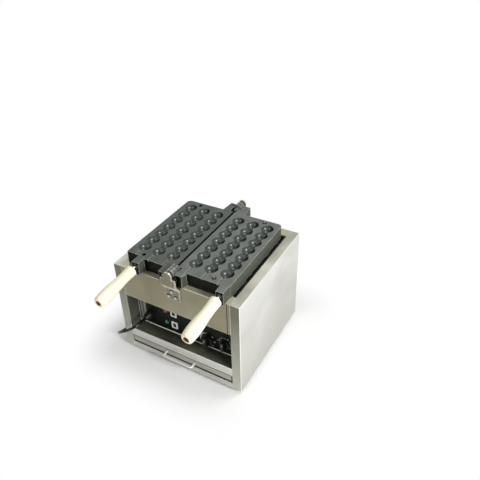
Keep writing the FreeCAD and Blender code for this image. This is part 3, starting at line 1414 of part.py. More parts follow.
def write():
    """Every object is sound before any file is written."""
    doc.recompute()
    for thing in doc.Objects:
        if "Invalid" in thing.State or "Error" in thing.State:
            raise RuntimeError(f"{thing.Label}: {thing.State}")
    for part in parts:
        if part.Shape.isNull() or not part.Shape.isValid():
            raise RuntimeError(f"{part.Label} has no sound shape")
    os.makedirs("parts", exist_ok=True)
    for part in parts:
        part.Shape.exportStep(f"parts/{part.Label}.step")
        print(part.Label, len(part.Shape.Solids), round(part.Shape.Volume / 1000, 1))


build()
write()
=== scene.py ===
"""Looks of the skewer waffle maker: finishes, lead, printed scales, light and camera round its solids."""

import math

import bmesh
import bpy
from mathutils import Matrix, Vector


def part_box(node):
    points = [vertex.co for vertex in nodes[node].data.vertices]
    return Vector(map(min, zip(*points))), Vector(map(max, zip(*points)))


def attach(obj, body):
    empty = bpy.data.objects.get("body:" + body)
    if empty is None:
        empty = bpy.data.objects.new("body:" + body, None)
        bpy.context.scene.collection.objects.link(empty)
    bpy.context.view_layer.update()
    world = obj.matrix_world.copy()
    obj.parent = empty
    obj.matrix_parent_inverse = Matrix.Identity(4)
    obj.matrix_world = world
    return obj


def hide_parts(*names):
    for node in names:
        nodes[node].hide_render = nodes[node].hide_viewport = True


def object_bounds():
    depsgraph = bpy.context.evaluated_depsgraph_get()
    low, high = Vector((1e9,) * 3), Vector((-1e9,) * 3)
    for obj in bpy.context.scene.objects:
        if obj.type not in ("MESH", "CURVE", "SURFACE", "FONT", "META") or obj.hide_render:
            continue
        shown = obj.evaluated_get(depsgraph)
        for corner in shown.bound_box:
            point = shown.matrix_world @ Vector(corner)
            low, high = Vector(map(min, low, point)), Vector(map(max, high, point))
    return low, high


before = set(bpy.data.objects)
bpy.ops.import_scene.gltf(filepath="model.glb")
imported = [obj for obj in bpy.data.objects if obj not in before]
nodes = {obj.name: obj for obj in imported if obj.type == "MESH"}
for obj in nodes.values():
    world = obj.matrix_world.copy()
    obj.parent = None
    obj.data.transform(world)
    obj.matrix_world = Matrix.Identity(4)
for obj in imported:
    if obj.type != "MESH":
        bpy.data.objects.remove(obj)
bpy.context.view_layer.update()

# Sizes and places in metres, in the part's own frame: x across from the hinge line, y to the rear, z up.
CASE_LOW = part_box("side_panel_left")[0]
CASE_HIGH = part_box("side_panel_right")[1]
BAY_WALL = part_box("control_panel")[0].y
DIAL_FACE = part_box("dial_plates")[0].y


# ---------------------------------------------------------------- nodes of materials

BUMP_DEPTH = 0.0002


class NodeTree:
    """Short calls to add and join the nodes of one tree. A value given to a call is a number or a socket."""

    def __init__(self, tree):
        self.tree = tree

    def add(self, kind, **values):
        node = self.tree.nodes.new(kind)
        for socket, value in values.items():
            self.put(value, node.inputs[socket.replace("_", " ")])
        return node

    def join(self, source, target):
        self.tree.links.new(source, target)

    def put(self, value, socket):
        if isinstance(value, bpy.types.NodeSocket):
            self.join(value, socket)
        else:
            socket.default_value = value

    def worked_out(self, kind, operation, values):
        node = self.tree.nodes.new(kind)
        node.operation = operation
        for value, socket in zip(values, node.inputs):
            self.put(value, socket)
        return node

    def math(self, operation, *values, clamp=False):
        node = self.worked_out("ShaderNodeMath", operation, values)
        node.use_clamp = clamp
        return node.outputs[0]

    def vector(self, operation, *values):
        node = self.worked_out("ShaderNodeVectorMath", operation, values)
        return node.outputs["Value" if operation in ("LENGTH", "DOT_PRODUCT") else "Vector"]

    def split(self, vector):
        return self.add("ShaderNodeSeparateXYZ", Vector=vector).outputs

    def place(self):
        return self.add("ShaderNodeTexCoord").outputs["Object"]

    def span(self, source, low, high):
        """Stretch a mask from 0..1 to low..high."""
        return self.add("ShaderNodeMapRange", Value=source, To_Min=low, To_Max=high).outputs["Result"]

    def fade(self, source, start, end):
        """A mask that climbs from 0 at start to 1 at end."""
        return self.add("ShaderNodeMapRange", Value=source, From_Min=start, From_Max=end).outputs["Result"]

    def noise(self, vector, **values):
        return self.add("ShaderNodeTexNoise", Vector=vector, **values).outputs["Fac"]

    def either(self, mask, one, other):
        """Shader one where the mask is 0 and the other where it is 1."""
        node = self.tree.nodes.new("ShaderNodeMixShader")
        for value, socket in zip((mask, one, other), node.inputs):
            self.join(value, socket)
        return node.outputs[0]


class Finish(NodeTree):
    """A material round one Principled BSDF."""

    def __init__(self, name, **settings):
        self.material = bpy.data.materials.new(name)
        self.material.use_nodes = True
        super().__init__(self.material.node_tree)
        self.shader = self.tree.nodes["Principled BSDF"]
        for setting, value in settings.items():
            socket = setting.replace("_", " ").title().replace("Ior", "IOR")
            self.shader.inputs[socket].default_value = value

    def feed(self, socket, source):
        self.join(source, self.shader.inputs[socket])

    def effect(self, group, **values):
        """Place a shared effect with its own values; the outputs come back by name."""
        node = self.tree.nodes.new("ShaderNodeGroup")
        node.node_tree = group
        for socket, value in values.items():
            node.inputs[socket].default_value = value
        return node.outputs

    def ramp(self, source, *stops):
        node = self.add("ShaderNodeValToRGB", Fac=source)
        ends = node.color_ramp.elements
        for end, (place, colour) in zip(ends, stops):
            end.position = place
            end.color = (*colour, 1) if isinstance(colour, tuple) else (colour, colour, colour, 1)
        return node.outputs["Color"]

    def blend(self, kind, factor, first, second):
        node = self.tree.nodes.new("ShaderNodeMix")
        node.data_type = "RGBA"
        node.blend_type = kind
        for value, socket in ((factor, 0), (first, 6), (second, 7)):
            self.put((*value, 1) if isinstance(value, tuple) else value, node.inputs[socket])
        return node.outputs[2]

    def mix(self, mask, low, high):
        """Colour low where the mask is 0 and high where it is 1."""
        return self.blend("MIX", mask, low, high)

    def shade(self, tone, shadow):
        return self.blend("MULTIPLY", 1.0, tone, shadow)

    def bump(self, height, strength):
        node = self.add("ShaderNodeBump", Height=height, Strength=strength, Distance=BUMP_DEPTH)
        self.feed("Normal", node.outputs["Normal"])

    def give(self, *objects):
        for thing in objects:
            thing.data.materials.clear()
            thing.data.materials.append(self.material)

    def give_nodes(self, *names):
        self.give(*(nodes[name] for name in names))


class Effect(NodeTree):
    """A node group with named inputs and outputs that several finishes share."""

    def __init__(self, name, outputs, **inputs):
        super().__init__(bpy.data.node_groups.new(name, "ShaderNodeTree"))
        sockets = self.tree.interface
        for socket, value in inputs.items():
            kind = "NodeSocketVector" if isinstance(value, tuple) else "NodeSocketFloat"
            sockets.new_socket(socket, in_out="INPUT", socket_type=kind).default_value = value
        for socket in outputs:
            sockets.new_socket(socket, in_out="OUTPUT", socket_type="NodeSocketFloat")
        self.given = self.tree.nodes.new("NodeGroupInput").outputs
        self.result = self.tree.nodes.new("NodeGroupOutput").inputs

    def hand_out(self, **masks):
        for name, source in masks.items():
            self.join(source, self.result[name])
        return self.tree


# ---------------------------------------------------------------- camera, floor and light

CAMERA_PLACE = Vector((0.5817, -0.8813, 1.0283))
CAMERA_TURN = math.radians(31.15)
CAMERA_HEIGHT = math.radians(32.94)
CAMERA_ROLL = math.radians(-2.28)
SENSOR_WIDTH = 36
FOCAL_PIXELS = 510.8
IMAGE_PIXELS = 480
AXIS_PIXEL = 225

FLOOR_REACH = 6.0
FLOOR_DROP = 0.0005
SHADOW_REACH = 0.16
AMBIENT_STRENGTH = 0.26
WHITE = (1, 1, 1, 1)


def make_camera():
    data = bpy.data.cameras.new("camera")
    data.sensor_width = SENSOR_WIDTH
    data.lens = FOCAL_PIXELS / IMAGE_PIXELS * SENSOR_WIDTH
    data.shift_x = (IMAGE_PIXELS / 2 - AXIS_PIXEL) / IMAGE_PIXELS
    data.shift_y = (AXIS_PIXEL - IMAGE_PIXELS / 2) / IMAGE_PIXELS
    camera = bpy.data.objects.new("camera", data)
    bpy.context.scene.collection.objects.link(camera)
    flat = math.cos(CAMERA_HEIGHT)
    back = Vector((math.sin(CAMERA_TURN) * flat, -math.cos(CAMERA_TURN) * flat, math.sin(CAMERA_HEIGHT)))
    right = Vector((0, 0, 1)).cross(back).normalized()
    level = Matrix((right, back.cross(right), back)).transposed()
    turned = (level @ Matrix.Rotation(CAMERA_ROLL, 3, "Z")).to_4x4()
    camera.matrix_world = Matrix.Translation(CAMERA_PLACE) @ turned
    bpy.context.scene.camera = camera
    bpy.context.scene.view_settings.view_transform = "Standard"


def floor_paper():
    """Pale paper that keeps the soft shadow round the case and is plain white further out."""
    paper = Finish("floor_paper", roughness=0.9)
    grain = paper.add("ShaderNodeTexNoise", Scale=60.0, Detail=3.0).outputs["Fac"]
    paper.feed("Base Color", paper.ramp(grain, (0.4, 0.93), (0.6, 0.96)))
    aside = paper.vector("ABSOLUTE", paper.place())
    past_case = paper.vector("SUBTRACT", aside, (CASE_HIGH.x, CASE_HIGH.y, 0))
    distance = paper.vector("LENGTH", paper.vector("MAXIMUM", past_case, (0, 0, 0)))
    far = paper.add("ShaderNodeMapRange", Value=distance, From_Min=0.0, From_Max=SHADOW_REACH)
    far.interpolation_type = "SMOOTHSTEP"
    eye = paper.add("ShaderNodeLightPath").outputs["Is Camera Ray"]
    white = paper.add("ShaderNodeEmission", Color=WHITE, Strength=1.0)
    seen = paper.math("MULTIPLY", eye, far.outputs["Result"])
    either = paper.either(seen, paper.shader.outputs[0], white.outputs[0])
    paper.join(either, paper.tree.nodes["Material Output"].inputs["Surface"])
    return paper


def make_floor():
    mesh = bpy.data.meshes.new("floor")
    corners = [(FLOOR_REACH * x, FLOOR_REACH * y, 0) for x, y in ((-1, -1), (1, -1), (1, 1), (-1, 1))]
    mesh.from_pydata(corners, [], [(0, 1, 2, 3)])
    floor = bpy.data.objects.new("floor", mesh)
    bpy.context.scene.collection.objects.link(floor)
    floor.location.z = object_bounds()[0].z - FLOOR_DROP
    floor_paper().give(floor)


def make_world():
    """Even grey surroundings for the light on the object, white wherever the eye looks past it."""
    world = bpy.data.worlds.new("studio")
    bpy.context.scene.world = world
    world.use_nodes = True
    studio = NodeTree(world.node_tree)
    studio.tree.nodes.clear()
    path = studio.add("ShaderNodeLightPath").outputs
    ambient = studio.add("ShaderNodeBackground", Strength=AMBIENT_STRENGTH)
    white = studio.add("ShaderNodeBackground", Color=WHITE, Strength=1.0)
    seen = studio.math("MAXIMUM", path["Is Camera Ray"], path["Is Transmission Ray"])
    out = studio.add("ShaderNodeOutputWorld")
    studio.join(studio.either(seen, ambient.outputs[0], white.outputs[0]), out.inputs["Surface"])


def softbox(name, place, aim, size, watts):
    data = bpy.data.lights.new(name, "AREA")
    data.shape = "SQUARE"
    data.size = size
    data.energy = watts
    lamp = bpy.data.objects.new(name, data)
    bpy.context.scene.collection.objects.link(lamp)
    lamp.location = place
    lamp.rotation_mode = "QUATERNION"
    lamp.rotation_quaternion = (Vector(aim) - Vector(place)).to_track_quat("-Z", "Y")


def make_lights():
    softbox("softbox_right", (1.82, -0.6, 1.15), (0.05, 0, 0.2), 0.55, 34)
    softbox("softbox_top", (0.75, 0.55, 2.0), (0, 0, 0.2), 0.8, 13)
    softbox("softbox_front", (-0.5, -1.9, 1.3), (0, 0, 0.2), 0.8, 10)
    softbox("softbox_rear", (-1.7, 1.5, 0.9), (0, 0, 0.15), 1.6, 9)


# ---------------------------------------------------------------- effects that several finishes share

FACE_LEVEL = 0.31285
FIELD_INNER = 0.012
FIELD_OUTER = 0.1375
FIELD_FRONT = -0.1255
FIELD_REAR = 0.1285
FIELD_BLUR = 0.0005
HOLLOW_START = FACE_LEVEL - 0.00065
HOLLOW_FULL = FACE_LEVEL - 0.00165
GAP_REACH = 0.0031


def brushed_effect():
    """Fine parallel lines of a brushed sheet; Stretch is large across the lines and small along them."""
    group = Effect("brushed_lines", ["Lines"], Stretch=(300, 300, 6))
    stretched = group.vector("MULTIPLY", group.place(), group.given["Stretch"])
    return group.hand_out(Lines=group.noise(stretched, Scale=1.0, Detail=4.0, Roughness=0.7))


def cloud_effect():
    """Broad soft patches, as cloudy reflections, heat tint or handling leave them."""
    group = Effect("soft_clouds", ["Patch"], Stretch=(9, 9, 9))
    stretched = group.vector("MULTIPLY", group.place(), group.given["Stretch"])
    cloud = group.noise(stretched, Scale=1.0, Detail=2.5, Roughness=0.5, Distortion=0.4)
    return group.hand_out(Patch=group.fade(cloud, 0.3, 0.7))


def facing_effect():
    """Masks of flats that look to the front, up and right, of all that leans left, and of bends, with which
    the finishes paint light and shade: lit and shaded copies of a tone by the way a face looks.
    """
    group = Effect("facing", ["Front", "Up", "Right", "Left", "Bend"])
    axes = group.split(group.add("ShaderNodeTexCoord").outputs["Normal"])
    sizes = [group.math("ABSOLUTE", axes[axis]) for axis in "XYZ"]
    largest = group.math("MAXIMUM", group.math("MAXIMUM", sizes[0], sizes[1]), sizes[2])
    return group.hand_out(Front=group.fade(axes["Y"], -0.9, -0.97), Up=group.fade(axes["Z"], 0.9, 0.97),
                          Right=group.fade(axes["X"], 0.8, 0.95), Left=group.fade(axes["X"], 0.0, -0.32),
                          Bend=group.fade(largest, 0.98, 0.92))


def grain_effect():
    """Fine pitted grain for castings and moulded plastic."""
    group = Effect("fine_grain", ["Grain"], Size=900.0)
    grain = group.noise(group.place(), Scale=group.given["Size"], Detail=3.0, Roughness=0.6)
    return group.hand_out(Grain=grain)


def seam_effect():
    """Painted shadow in the gaps round a sheet: 1 near the edges of a box given by its middle and half size,
    across and up.
    """
    group = Effect("seam", ["Seam"], Middle=(0, 0, 0), Half=(0.1, 1, 0.1), Width=0.001)
    away = group.vector("ABSOLUTE", group.vector("SUBTRACT", group.place(), group.given["Middle"]))
    axes = group.split(group.vector("SUBTRACT", group.given["Half"], away))
    nearest = group.math("MINIMUM", axes["X"], axes["Z"])
    return group.hand_out(Seam=group.math("LESS_THAN", nearest, group.given["Width"]))


def slope_effect():
    """A level that climbs from 0 to 1 along a direction."""
    group = Effect("slope", ["Level"], Along=(0, 0, 1), Start=0.0)
    along = group.vector("DOT_PRODUCT", group.place(), group.given["Along"])
    return group.hand_out(Level=group.math("SUBTRACT", along, group.given["Start"], clamp=True))


def core_effect():
    """1 within a radius of a line through Point along Way, fading out over the last millimetre."""
    group = Effect("core", ["Core"], Point=(0, 0, 0), Way=(0, 0, 1), Radius=0.006)
    away = group.vector("SUBTRACT", group.place(), group.given["Point"])
    reach = group.vector("LENGTH", group.vector("CROSS_PRODUCT", group.given["Way"], away))
    return group.hand_out(Core=group.fade(group.math("SUBTRACT", group.given["Radius"], reach), 0.0, 0.001))


def hollow_effect():
    """Masks of the field of cavities on both cooking faces, of its hollows, and of a band by the plates' gap
    that gets painted shade.
    """
    group = Effect("hollows", ["Field", "Hollow", "Gap"])
    axes = group.split(group.place())
    aside = group.math("ABSOLUTE", axes["X"])
    across = group.math("MULTIPLY", group.fade(aside, FIELD_INNER, FIELD_INNER + FIELD_BLUR),
                        group.fade(aside, FIELD_OUTER, FIELD_OUTER - FIELD_BLUR))
    along = group.math("MULTIPLY", group.fade(axes["Y"], FIELD_FRONT, FIELD_FRONT + FIELD_BLUR),
                       group.fade(axes["Y"], FIELD_REAR, FIELD_REAR - FIELD_BLUR))
    field = group.math("MULTIPLY", across, along)
    below = group.fade(axes["Z"], HOLLOW_START, HOLLOW_FULL)
    return group.hand_out(Field=field, Hollow=group.math("MULTIPLY", field, below),
                          Gap=group.fade(aside, GAP_REACH, GAP_REACH - FIELD_BLUR))


def edge_effect():
    """Painted edge highlights: where the rounded normal leaves the flat one."""
    group = Effect("rubbed_edges", ["Edge"], Radius=0.0008)
    rounded = group.add("ShaderNodeBevel", Radius=group.given["Radius"])
    rounded.samples = 4
    flat = group.add("ShaderNodeNewGeometry").outputs["Normal"]
    likeness = group.vector("DOT_PRODUCT", rounded.outputs[0], flat)
    return group.hand_out(Edge=group.fade(likeness, 0.985, 0.9))


BRUSHED = brushed_effect()
GAP_SHADOW = seam_effect()
SLOPE = slope_effect()
CORE = core_effect()
HOLLOWS = hollow_effect()
EDGES = edge_effect()
CLOUDS = cloud_effect()
LIGHT_BY_FACING = facing_effect()
GRAIN = grain_effect()


# ---------------------------------------------------------------- finishes

GAP_SHADOW_BLACK = (0.004, 0.004, 0.003)
JOINT_AND_SHADOW_BROWN = (0.03, 0.028, 0.018)
SHEET_EDGE_HIGHLIGHT = (0.92, 0.91, 0.80)
SHEET_BEND_HIGHLIGHT = (0.84, 0.83, 0.72)
SHEET_RISE = 0.25
FOOT_SHADE = 0.9
HANDLE_DROOP = math.radians(5)
WELL_RADIUS = 0.0076
PIN_ACROSS = 0.0975
PIN_PLACES = (-0.136, 0.118)
PIN_RING = 0.0058


def sheet_steel(name, side, front, up, lines, metallic=0.5, roughness=(0.3, 0.42), streaks=0.93,
                edge_highlight=0.0016, seam=None, marks=(), dim=None):
    """Satin stainless sheet with light and shade painted into its tone. side and up run from dark to light
    patches, front from its foot to its head;
    side, front and up are lit and shaded copies of one steel, and the side tone is painted darker towards the
    foot. seam is a box whose edges get painted shadow, marks are dark joint lines and rings of painted
    shadow, each round a line through a point, dim is a way into painted shade, and rubbed is the radius of
    the painted edge highlights."""
    steel = Finish(name, metallic=metallic)
    brushed = steel.effect(BRUSHED, Stretch=lines)["Lines"]
    clouds = steel.effect(CLOUDS, Stretch=(4, 5, 8))["Patch"]
    strips = steel.effect(CLOUDS, Stretch=(9, 9, 9))["Patch"]
    height = steel.effect(SLOPE, Along=(0, 0, 1 / SHEET_RISE), Start=0.0)["Level"]
    # Painted light and shade: faces that look to the front or up, and bends, each get their own lit or shaded
    # copy of the tone.
    facing = steel.effect(LIGHT_BY_FACING)
    # Painted shade: the side tone darkens towards the foot, and the front tone runs from foot to head.
    low = tuple(channel * FOOT_SHADE for channel in side[0])
    tone = steel.mix(height, low, steel.mix(clouds, *side))
    patches = steel.ramp(strips, (0.2, (0.86, 0.84, 0.80)), (0.8, (1.0, 1.0, 1.0)))
    tone = steel.mix(facing["Front"], tone, steel.shade(steel.mix(height, *front), patches))
    flat = steel.mix(strips, *up)
    if dim:
        along, start = dim
        shadow = steel.effect(SLOPE, Along=along, Start=start)["Level"]
        flat = steel.shade(flat, steel.ramp(shadow, (0.0, 1.0), (1.0, 0.3)))
    tone = steel.mix(facing["Up"], tone, flat)
    tone = steel.shade(tone, steel.ramp(brushed, (0.3, streaks), (0.7, 1.0)))
    # Painted highlight on the bends.
    tone = steel.mix(facing["Bend"], tone, SHEET_BEND_HIGHLIGHT)
    # Painted highlight along the edges.
    tone = steel.mix(steel.effect(EDGES, Radius=edge_highlight)["Edge"], tone, SHEET_EDGE_HIGHLIGHT)
    # Painted shadow round the edges of the given box, as in the gaps round the drawer front.
    if seam:
        middle, half, width = seam
        gap_shade = steel.effect(GAP_SHADOW, Middle=middle, Half=half, Width=width)
        tone = steel.mix(gap_shade["Seam"], tone, GAP_SHADOW_BLACK)
    # Dark joint lines, and rings of painted shadow round the bracket screws.
    for point, way, radius in marks:
        mark = steel.effect(CORE, Point=point, Way=way, Radius=radius)
        tone = steel.mix(mark["Core"], tone, JOINT_AND_SHADOW_BROWN)
    steel.feed("Base Color", tone)
    steel.feed("Roughness", steel.span(brushed, *roughness))
    steel.bump(brushed, 0.15)
    return steel


def plain_metal(name, dark, light, roughness, metallic=1.0):
    """Turned or formed metal with faint patches."""
    metal = Finish(name, metallic=metallic)
    clouds = metal.effect(CLOUDS, Stretch=(40, 40, 40))["Patch"]
    metal.feed("Base Color", metal.mix(clouds, dark, light))
    metal.feed("Roughness", metal.span(clouds, *roughness))
    metal.bump(metal.effect(GRAIN, Size=1500.0)["Grain"], 0.12)
    return metal


def wire_chrome():
    """Bright plated wire with painted shade where it looks to the front."""
    wire = Finish("polished_chrome", metallic=0.35)
    clouds = wire.effect(CLOUDS, Stretch=(60, 60, 60))["Patch"]
    tone = wire.mix(clouds, (0.86, 0.86, 0.83), (0.96, 0.96, 0.94))
    # Painted shade where the wire looks to the front.
    wire.feed("Base Color", wire.mix(wire.effect(LIGHT_BY_FACING)["Front"], tone, (0.16, 0.16, 0.14)))
    wire.feed("Roughness", wire.span(clouds, 0.14, 0.20))
    return wire


def cast_coating(name, dark, light, side):
    """Dark non-stick coating on a casting, glossy in its deep hollows, with painted shade in them and black
    painted shadow on their walls that lean left, black painted shade on fronts, painted shade on sides that
    look right and beside the middle gap, painted highlights on edges and a dark ring round each locating pin.
    side is -1 on the left plate and 1 on the right."""
    coat = Finish(name, specular_ior_level=0.12, coat_roughness=0.3)
    clouds = coat.effect(CLOUDS, Stretch=(22, 22, 22))["Patch"]
    facing = coat.effect(LIGHT_BY_FACING)
    hollows = coat.effect(HOLLOWS)
    tone = coat.mix(clouds, dark, light)
    # Painted shade on sides that look right, and black painted shade on fronts.
    tone = coat.mix(facing["Right"], tone, (0.070, 0.076, 0.062))
    tone = coat.mix(facing["Front"], tone, (0.002, 0.0025, 0.001))
    # Painted shade in the hollows, with black painted shadow on their walls that lean left.
    hollow_shade = coat.mix(facing["Left"], (0.062, 0.074, 0.064), (0.001, 0.001, 0.001))
    tone = coat.mix(hollows["Hollow"], tone, hollow_shade)
    # Painted highlight along the edges, paler outside the field of cavities.
    edge_highlight = coat.mix(hollows["Field"], (0.50, 0.54, 0.46), (0.20, 0.22, 0.19))
    tone = coat.mix(coat.effect(EDGES, Radius=0.0016)["Edge"], tone, edge_highlight)
    for y in PIN_PLACES:
        pin = coat.effect(CORE, Point=(PIN_ACROSS * side, y, 0), Way=(0, 0, 1), Radius=PIN_RING)
        tone = coat.mix(pin["Core"], tone, (0.012, 0.013, 0.011))
    # Painted shade in a band beside the middle gap.
    coat.feed("Base Color", coat.mix(hollows["Gap"], tone, (0.002, 0.002, 0.002)))
    coat.feed("Coat Weight", hollows["Hollow"])
    coat.feed("Roughness", coat.span(clouds, 0.38, 0.46))
    coat.bump(coat.effect(GRAIN, Size=700.0)["Grain"], 0.10)
    return coat


def maple(name, middle):
    """Turned pale maple under clear lacquer, its grain along the grip, with a raw brown well at its end."""
    wood = Finish(name, coat_roughness=0.18, coat_weight=0.25)
    lines = wood.effect(BRUSHED, Stretch=(170, 9, 170))["Lines"]
    clouds = wood.effect(CLOUDS, Stretch=(30, 8, 30))["Patch"]
    along = (0, math.cos(HANDLE_DROOP), math.sin(HANDLE_DROOP))
    well = wood.effect(CORE, Point=middle, Way=along, Radius=WELL_RADIUS)["Core"]
    tone = wood.mix(clouds, wood.mix(lines, (0.93, 0.83, 0.58), (0.98, 0.93, 0.70)), (0.99, 0.95, 0.74))
    wood.feed("Base Color", wood.mix(well, tone, (0.30, 0.17, 0.045)))
    wood.feed("Roughness", wood.span(lines, 0.36, 0.5))
    wood.bump(lines, 0.12)
    return wood


def moulded(name, dark, light, roughness, size=1200.0, strength=0.12, level=0.35):
    """Moulded plastic or rubber with a fine grain."""
    plastic = Finish(name, specular_ior_level=level)
    clouds = plastic.effect(CLOUDS, Stretch=(45, 45, 45))["Patch"]
    grain = plastic.effect(GRAIN, Size=size)["Grain"]
    plastic.feed("Base Color", plastic.mix(clouds, dark, light))
    plastic.feed("Roughness", plastic.span(grain, *roughness))
    plastic.bump(grain, strength)
    return plastic


def lens(name, dark, light):
    """Coloured lamp lens with a moulded pattern behind a glossy face."""
    glass = Finish(name, coat_weight=0.6, coat_roughness=0.05, emission_strength=0.25)
    facets = glass.add("ShaderNodeTexVoronoi", Scale=650.0).outputs["Distance"]
    glow = glass.mix(facets, light, dark)
    glass.feed("Base Color", glow)
    glass.feed("Emission Color", glow)
    glass.feed("Roughness", glass.span(facets, 0.1, 0.3))
    return glass


# ---------------------------------------------------------------- which piece has which finish

BRUSHED_UP = (260, 260, 5)
BRUSHED_ACROSS = (5, 260, 260)
PLAIN_SHEET = ((0.32, 0.31, 0.25), (0.40, 0.385, 0.32))
PANEL_JOINT = (0.1435, CASE_LOW.y, 0)
PANEL_JOINT_WIDTH = 0.0016
SCREW_SHADOW_PLACES = ((-0.001, 0.2598), (-0.0105, 0.2448), (0.0085, 0.2448))
SCREW_SHADOW_RADIUS = 0.0056
# Box of the drawer front and the width of the painted shadow round its edges.
DRAWER_MIDDLE = (0, 0, 0.0398)
DRAWER_HALF = (0.1505, 1, 0.0095)
DRAWER_GAP_SHADOW = 0.0017
BAY_SHADE_DEPTH = 0.03
BAY_SHADE_START = -0.159


def finish_case():
    # Painted light and shade: the side, front and up tones below are lit and shaded copies of each steel.
    side = sheet_steel("side_steel", ((0.49, 0.49, 0.44), (0.72, 0.71, 0.69)),
                       ((0.55, 0.56, 0.48), (0.18, 0.175, 0.125)), ((0.46, 0.46, 0.38), (0.98, 0.98, 0.85)),
                       BRUSHED_UP, 0.3, streaks=0.98)
    side.give_nodes("side_panel_left", "side_panel_right")
    face = sheet_steel("face_steel", PLAIN_SHEET, ((0.42, 0.40, 0.29), (0.32, 0.30, 0.20)),
                       ((0.62, 0.62, 0.40), (0.90, 0.90, 0.64)), BRUSHED_ACROSS,
                       marks=[(PANEL_JOINT, (0, 0, 1), PANEL_JOINT_WIDTH)])
    face.give_nodes("front_panel", "rear_panel", "drawer_tray", "drawer_runner_left", "drawer_runner_right",
                    "element_rests")
    # Painted shadow: a dark ring round each bracket screw, set a little off the screw.
    rings = [((x, 0, z), (0, 1, 0), SCREW_SHADOW_RADIUS) for x, z in SCREW_SHADOW_PLACES]
    bracket = sheet_steel("bracket_steel", ((0.7, 0.7, 0.62), (0.8, 0.8, 0.7)),
                          ((0.30, 0.285, 0.22), (0.27, 0.26, 0.20)), ((0.5, 0.5, 0.4), (0.6, 0.6, 0.5)),
                          BRUSHED_UP, marks=rings)
    bracket.give_nodes("hinge_bracket_front", "hinge_bracket_rear")
    drawer = sheet_steel("drawer_steel", PLAIN_SHEET, ((0.44, 0.44, 0.38), (0.44, 0.44, 0.38)), PLAIN_SHEET,
                         BRUSHED_ACROSS, seam=(DRAWER_MIDDLE, DRAWER_HALF, DRAWER_GAP_SHADOW))
    drawer.give_nodes("drawer_front")
    wire_chrome().give_nodes("drawer_handle")


def finish_bay():
    shade = ((0, 1 / BAY_SHADE_DEPTH, 0), BAY_SHADE_START / BAY_SHADE_DEPTH)
    # Painted light and shade: the rail's and the bay cheeks' tones are lit and shaded copies of their steel,
    # dark in the bay, and the rail's top darkens towards the control panel.
    rail = sheet_steel("rail_steel", PLAIN_SHEET, ((0.60, 0.60, 0.56), (0.95, 0.95, 0.86)),
                       ((0.014, 0.016, 0.008), (0.25, 0.26, 0.18)), BRUSHED_ACROSS,
                       roughness=(0.14, 0.22), dim=shade)
    rail.give_nodes("lower_rail", "bottom_pan")
    cheek = sheet_steel("cheek_steel", ((0.16, 0.18, 0.14), (0.34, 0.36, 0.30)),
                        ((0.035, 0.04, 0.03), (0.03, 0.035, 0.025)), PLAIN_SHEET, BRUSHED_UP,
                        edge_highlight=0.0003)
    cheek.give_nodes("bay_side_left", "bay_side_right")
    black = moulded("black_moulding", (0.006, 0.007, 0.007), (0.012, 0.013, 0.012), (0.3, 0.42))
    black.give_nodes("thermostat_knob", "timer_knob", "thermostat_body", "timer_body", "cable_gland",
                     "switch_rocker_upper", "switch_rocker_lower", "plug_body")
    paint = moulded("black_paint", (0.002, 0.004, 0.003), (0.005, 0.008, 0.005), (0.4, 0.5), level=0.15)
    paint.give_nodes("control_panel", "dial_plates")
    white = moulded("white_moulding", (0.74, 0.75, 0.73), (0.80, 0.81, 0.79), (0.25, 0.35))
    white.give_nodes("switch_body_upper", "switch_body_lower", "terminal_block")
    lens("green_lens", (0.0, 0.03, 0.015), (0.005, 0.13, 0.07)).give_nodes("lamp_green")
    lens("red_lens", (0.10, 0.02, 0.015), (0.26, 0.08, 0.06)).give_nodes("lamp_red")


def finish_plates():
    # Painted light: the left plate gets a shaded copy of the coating and the right plate a lit one.
    left = cast_coating("cast_coating_left", (0.092, 0.104, 0.092), (0.130, 0.144, 0.130), -1)
    left.give_nodes("plate_left")
    right = cast_coating("cast_coating_right", (0.135, 0.149, 0.135), (0.195, 0.21, 0.19), 1)
    right.give_nodes("plate_right")
    for side in ("left", "right"):
        low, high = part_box(f"handle_grip_{side}")
        maple(f"maple_{side}", (low + high) / 2).give_nodes(f"handle_grip_{side}")


def finish_fittings():
    bright = plain_metal("bright_steel", (0.55, 0.55, 0.52), (0.7, 0.7, 0.67), (0.22, 0.32))
    bright.give_nodes("handle_rod_left", "handle_rod_right", "grip_nut_left", "grip_nut_right", "foot_screws",
                      "bracket_screws_front", "bracket_screws_rear", "thermostat_spindle", "timer_spindle",
                      "locating_pins")
    knuckle = plain_metal("knuckle_steel", (0.18, 0.19, 0.17), (0.34, 0.35, 0.31), (0.24, 0.32), 0.6)
    knuckle.give_nodes("hinge_knuckles_left", "hinge_knuckles_right", "hinge_pins")
    plating = plain_metal("plug_plating", (0.62, 0.60, 0.54), (0.74, 0.72, 0.66), (0.18, 0.26))
    plating.give_nodes("plug_pins")
    sheath = plain_metal("heater_sheath", (0.07, 0.065, 0.06), (0.14, 0.12, 0.1), (0.42, 0.55))
    sheath.give_nodes("heating_element_left", "heating_element_right")
    # Painted shade: the reflector tray is coloured near black, standing for the shade in the gap round the
    # plates.
    shaded_tray = plain_metal("burnt_sheet", (0.002, 0.002, 0.0015), (0.008, 0.0075, 0.006), (0.55, 0.7), 0.1)
    shaded_tray.give_nodes("reflector_tray")
    rubber = moulded("foot_rubber", (0.018, 0.018, 0.018), (0.03, 0.03, 0.03), (0.6, 0.75), 500.0, 0.3)
    rubber.give_nodes("rubber_feet")


# ---------------------------------------------------------------- mains lead

